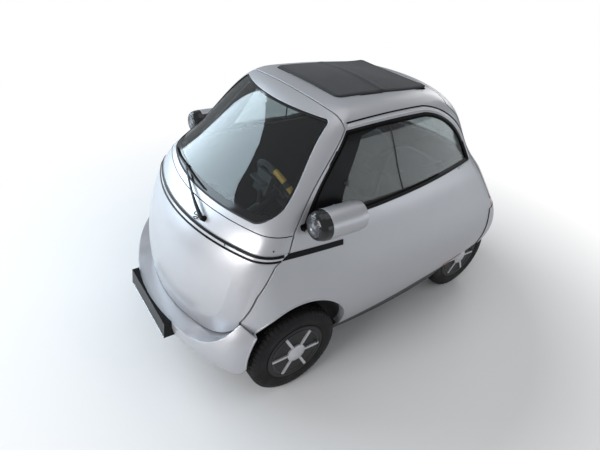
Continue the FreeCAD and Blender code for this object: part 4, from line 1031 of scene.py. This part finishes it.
def wiperPieces():
    form = wiperForm
    glass = Skin("windscreen", "front_door", facing=0.2)
    place, normal = glass.near(at(*form["pivot"]))
    elbow, elbowOut = glass.near(at(*form["elbow"]))
    tip, tipOut = glass.near(at(*form["tip"]))
    startRise, middleRise, endRise = (rise / 1000 for rise in form["armRise"])
    start, middle, end = place + normal * startRise, elbow + elbowOut * middleRise, tip + tipOut * endRise
    arm = curveThrough([start, start.lerp(middle, 0.5) + normal * 0.004, middle,
                        middle.lerp(end, 0.5) + tipOut * 0.003, end], 8)
    radii = [np.interp(i, [0, 6, 14, len(arm) - 1], form["armRadii"]) for i in range(len(arm))]
    bar = tube(arm, radii, tipOut, 12, 0.45)
    route = [glass.near(at(*p)) for p in form["blade"]]
    carrier = curveThrough([p + n * (form["carrierRise"] / 1000) for p, n in route], 8)
    size = len(carrier)
    radii = [np.interp(i, [0, size * 0.45, size], form["carrierRadii"]) for i in range(size)]
    carrierBar = tube(carrier, radii, tipOut, 10, 0.8)
    cap = turnedOn(place, normal, form["cap"], 32)
    clip = turnedOn(end - tipOut * 0.006, tipOut, form["clip"], 20)
    piece = addPiece("wiperArm", *joined(cap, bar, carrierBar, clip), "front_door", "frameBlack",
                     "dark_plastic")
    sharpEdges(piece, 45)
    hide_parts("wiper")
    rubber = curveThrough([p + n * (form["rubberRise"] / 1000) for p, n in route], 8)
    rubberBar = tube(rubber, [form["rubberRadius"]] * len(rubber), tipOut, 8, 1.5)
    addPiece("wiperRubber", *rubberBar, "front_door", "sealRubber", "dark_plastic")
    spot, up = glass.near(at(*form["washer"]))
    across = up.orthogonal().normalized()
    third = up.cross(across)
    middle, reach = spot + up * (form["ringRise"] / 1000), form["ringRadius"] / 1000
    ring = [middle + (across * math.cos(t) + third * math.sin(t)) * reach for t in np.linspace(0.0, 5.6, 30)]
    hose = [start - normal * 0.012] + ring + [place + normal * 0.004]
    addPiece("washerRing", *tube(hose, [form["hoseRadius"]] * len(hose), up, 8), "front_door", "sealRubber",
             "dark_plastic")


# Plate rail in front: bright line along its lower edge and two ribs across its face
railForm = dict(half=250, foot=-1304, low=280, high=380, slope=0.07, steps=24, edgeUp=6,
                edge=(5, 1.2, 0.5, 0.5), ribHalf=236, ribUp=16, ribDown=6, rib=(4, 1.4, 0.5))


def railDetails():
    form = railForm
    out = Vector((0, -1, form["slope"])).normalized()

    def across(half, z):
        y = form["foot"] + form["slope"] * (z - form["low"])
        return [(at(x, y, z), out) for x in np.linspace(-half, half, form["steps"])]

    strip("railEdge", across(form["half"] - 2, form["low"] + form["edgeUp"]), flatStrip(*form["edge"]),
          "car_body", "chrome", "bar_steel")
    for number, z in enumerate((form["low"] + form["ribUp"], form["high"] - form["ribDown"])):
        strip("railRib" + str(number), across(form["ribHalf"], z), roundBead(*form["rib"]), "car_body",
              "satinBlack", "dark_plastic")


# Ochre accents on the steering wheel, and the display on its stalk
wheelForm = dict(centre=(236, -640, 1015), tilt=28, radius=172, grip=15.2, arcs=((288, 312), (322, 346)),
                 steps=24, display=(200, -727, 1078), caseHalf=(66, 42, 7), glassHalf=(62, 38, 1.5),
                 glassUp=7,
                 stalk=[(0, 0, 0), (12, 12, -45), (28, 22, -105)], stalkRadii=[16, 14, 16])


def steeringDetails():
    form = wheelForm
    tilt = math.radians(form["tilt"])
    axis = Vector((0, math.cos(tilt), math.sin(tilt)))
    across = Vector((1, 0, 0))
    upward = axis.cross(across)
    centre = at(*form["centre"])
    parts = []
    for first, last in form["arcs"]:
        turns = [math.radians(degrees) for degrees in np.linspace(first, last, form["steps"])]
        line = [centre + (across * math.cos(turn) + upward * math.sin(turn)) * (form["radius"] / 1000)
                for turn in turns]
        parts.append(tube(line, [form["grip"]] * form["steps"], axis, 18))
    addPiece("wheelAccents", *joined(*parts), "steering_wheel", "ochreTrim", "seat_cover")
    spot = at(*form["display"])
    slabs = []
    for half, above in ((form["caseHalf"], 0), (form["glassHalf"], form["glassUp"])):
        points, faces = paddedForm(half, 9, 2, 0, 0, 0, 8)
        slabs.append(([spot + (p + Vector((0, 0, above))) / 1000 for p in points], faces))
    stalk = tube([spot + Vector(p) / 1000 for p in form["stalk"]], form["stalkRadii"], Vector((1, 0, 0)), 12)
    addPiece("displayCase", *joined(slabs[0], stalk), "car_body", "darkPlastic", "dark_plastic")
    addPiece("displayGlass", *slabs[1], "car_body", "screenBlack", "gloss_black")


# Seats: crowned cushions and backs with sewn channels and piping
seatForm = dict(x=246, half=232, front=-66, rear=322, low=474, high=592, backLow=572, backHigh=1056,
                backDepth=104, lean=9, cushionCrown=13.2, backCrown=11, channel=4.5, cushionChannels=5,
                backChannels=6, backOut=27, taper=0.22, taperFrom=0.35)


def paddedForm(half, power, crownAxis, crown, channels, depth, resolution=30):
    # A rounded closed box: a cube sphere pushed to a soft block, crowned on one face, with sewn channels
    points, faces, keys = [], [], {}
    for u, v, w in ((0, 1, 2), (1, 2, 0), (2, 0, 1)):
        for sign in (1, -1):
            grid = []
            for i in range(resolution + 1):
                row = []
                for k in range(resolution + 1):
                    cube = [0.0, 0.0, 0.0]
                    cube[u] = math.tan((2 * i / resolution - 1) * math.pi / 4)
                    cube[v] = math.tan((2 * k / resolution - 1) * math.pi / 4) * sign
                    cube[w] = float(sign)
                    key = tuple(round(c * 1000) for c in cube)
                    if key not in keys:
                        keys[key] = len(points)
                        scale = sum(abs(c) ** power for c in cube) ** (1 / power)
                        points.append([c / scale for c in cube])
                    row.append(keys[key])
                grid.append(row)
            for i in range(resolution):
                for k in range(resolution):
                    faces.append((grid[i][k], grid[i + 1][k], grid[i + 1][k + 1], grid[i][k + 1]))
    return [Vector(softPlace(unit, half, crownAxis, crown, channels, depth)) for unit in points], faces


def softPlace(unit, half, crownAxis, crown, channels, depth):
    # Where one point of the unit block goes on the crowned and sewn cushion
    across, along = unit[0], unit[1 if crownAxis == 2 else 2]
    dome = (1 - across ** 2) * (1 - along ** 2)
    channelSeam = 0.0
    if channels and max(abs(across), abs(along)) < 0.86:
        wave = abs(math.sin(math.pi * channels * (along + 1) / 2))
        channelSeam = (1 - wave) ** 3 * min(1.0, max(0.0, (0.74 - abs(across)) / 0.06))
    sideSeam = math.exp(-((abs(across) - 0.76) / 0.025) ** 2) if abs(along) < 0.9 else 0.0
    place = [share * size for share, size in zip(unit, half)]
    place[0] *= 1 - 0.03 * (abs(across) < 0.98) * (1 - along ** 2) * abs(across) ** 6
    place[crownAxis] += (crown * dome - depth * (channelSeam + sideSeam)) * max(0.0, unit[crownAxis]) ** 3
    return place


def seats():
    form = seatForm
    cushionHalf = (form["half"], (form["rear"] - form["front"]) / 2, (form["high"] - form["low"]) / 2 - 8)
    cushionY, cushionZ = (form["rear"] + form["front"]) / 2, (form["high"] + form["low"]) / 2 - 2
    backHalf = (form["half"], form["backDepth"] / 2 - 6, (form["backHigh"] - form["backLow"]) / 2)
    lean = Matrix.Rotation(math.radians(-form["lean"]), 3, "X")
    for side, name in bothSides:
        points, faces = paddedForm(cushionHalf, 7, 2, form["cushionCrown"], form["cushionChannels"],
                                   form["channel"])
        middle = Vector((side * form["x"], cushionY, cushionZ))
        cushion = addPiece("seatCushion" + name, [at(*(middle + p)) for p in points], faces, "car_body",
                           "seatCloth", "seat_cover")
        points, faces = paddedForm(backHalf, 6, 1, form["backCrown"], form["backChannels"], form["channel"])
        foot = Vector((side * form["x"], form["rear"], form["high"]))
        raised = Vector((0, form["backOut"], (form["backHigh"] + form["backLow"]) / 2 - form["high"]))
        placed = []
        for p in points:
            above = max(0.0, (p.z / backHalf[2] - form["taperFrom"]) / (1 - form["taperFrom"]))
            flipped = Vector((p.x * (1 - form["taper"] * above ** 1.6), -p.y, p.z))
            placed.append(at(*(foot + lean @ (raised + flipped))))
        faces = [tuple(reversed(corners)) for corners in faces]
        back = addPiece("seatBack" + name, placed, faces, "car_body", "seatCloth", "seat_cover")
        if side > 0:
            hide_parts("seats")


print("tools for pieces ready")
makeCamera()
makeStudio()
dressFrame()
print("camera, studio and frame finishes ready")
trimGlass()
trimFront()
trimSides()
print("glass borders, seals and body lines ready")
canvasRoof()
seats()
print("canvas and seats ready")
tyres()
wheelDetails()
archLips()
podLamps()
smallFittings()
wiperPieces()
railDetails()
steeringDetails()
print("wheels, lamps, wiper and fittings ready")
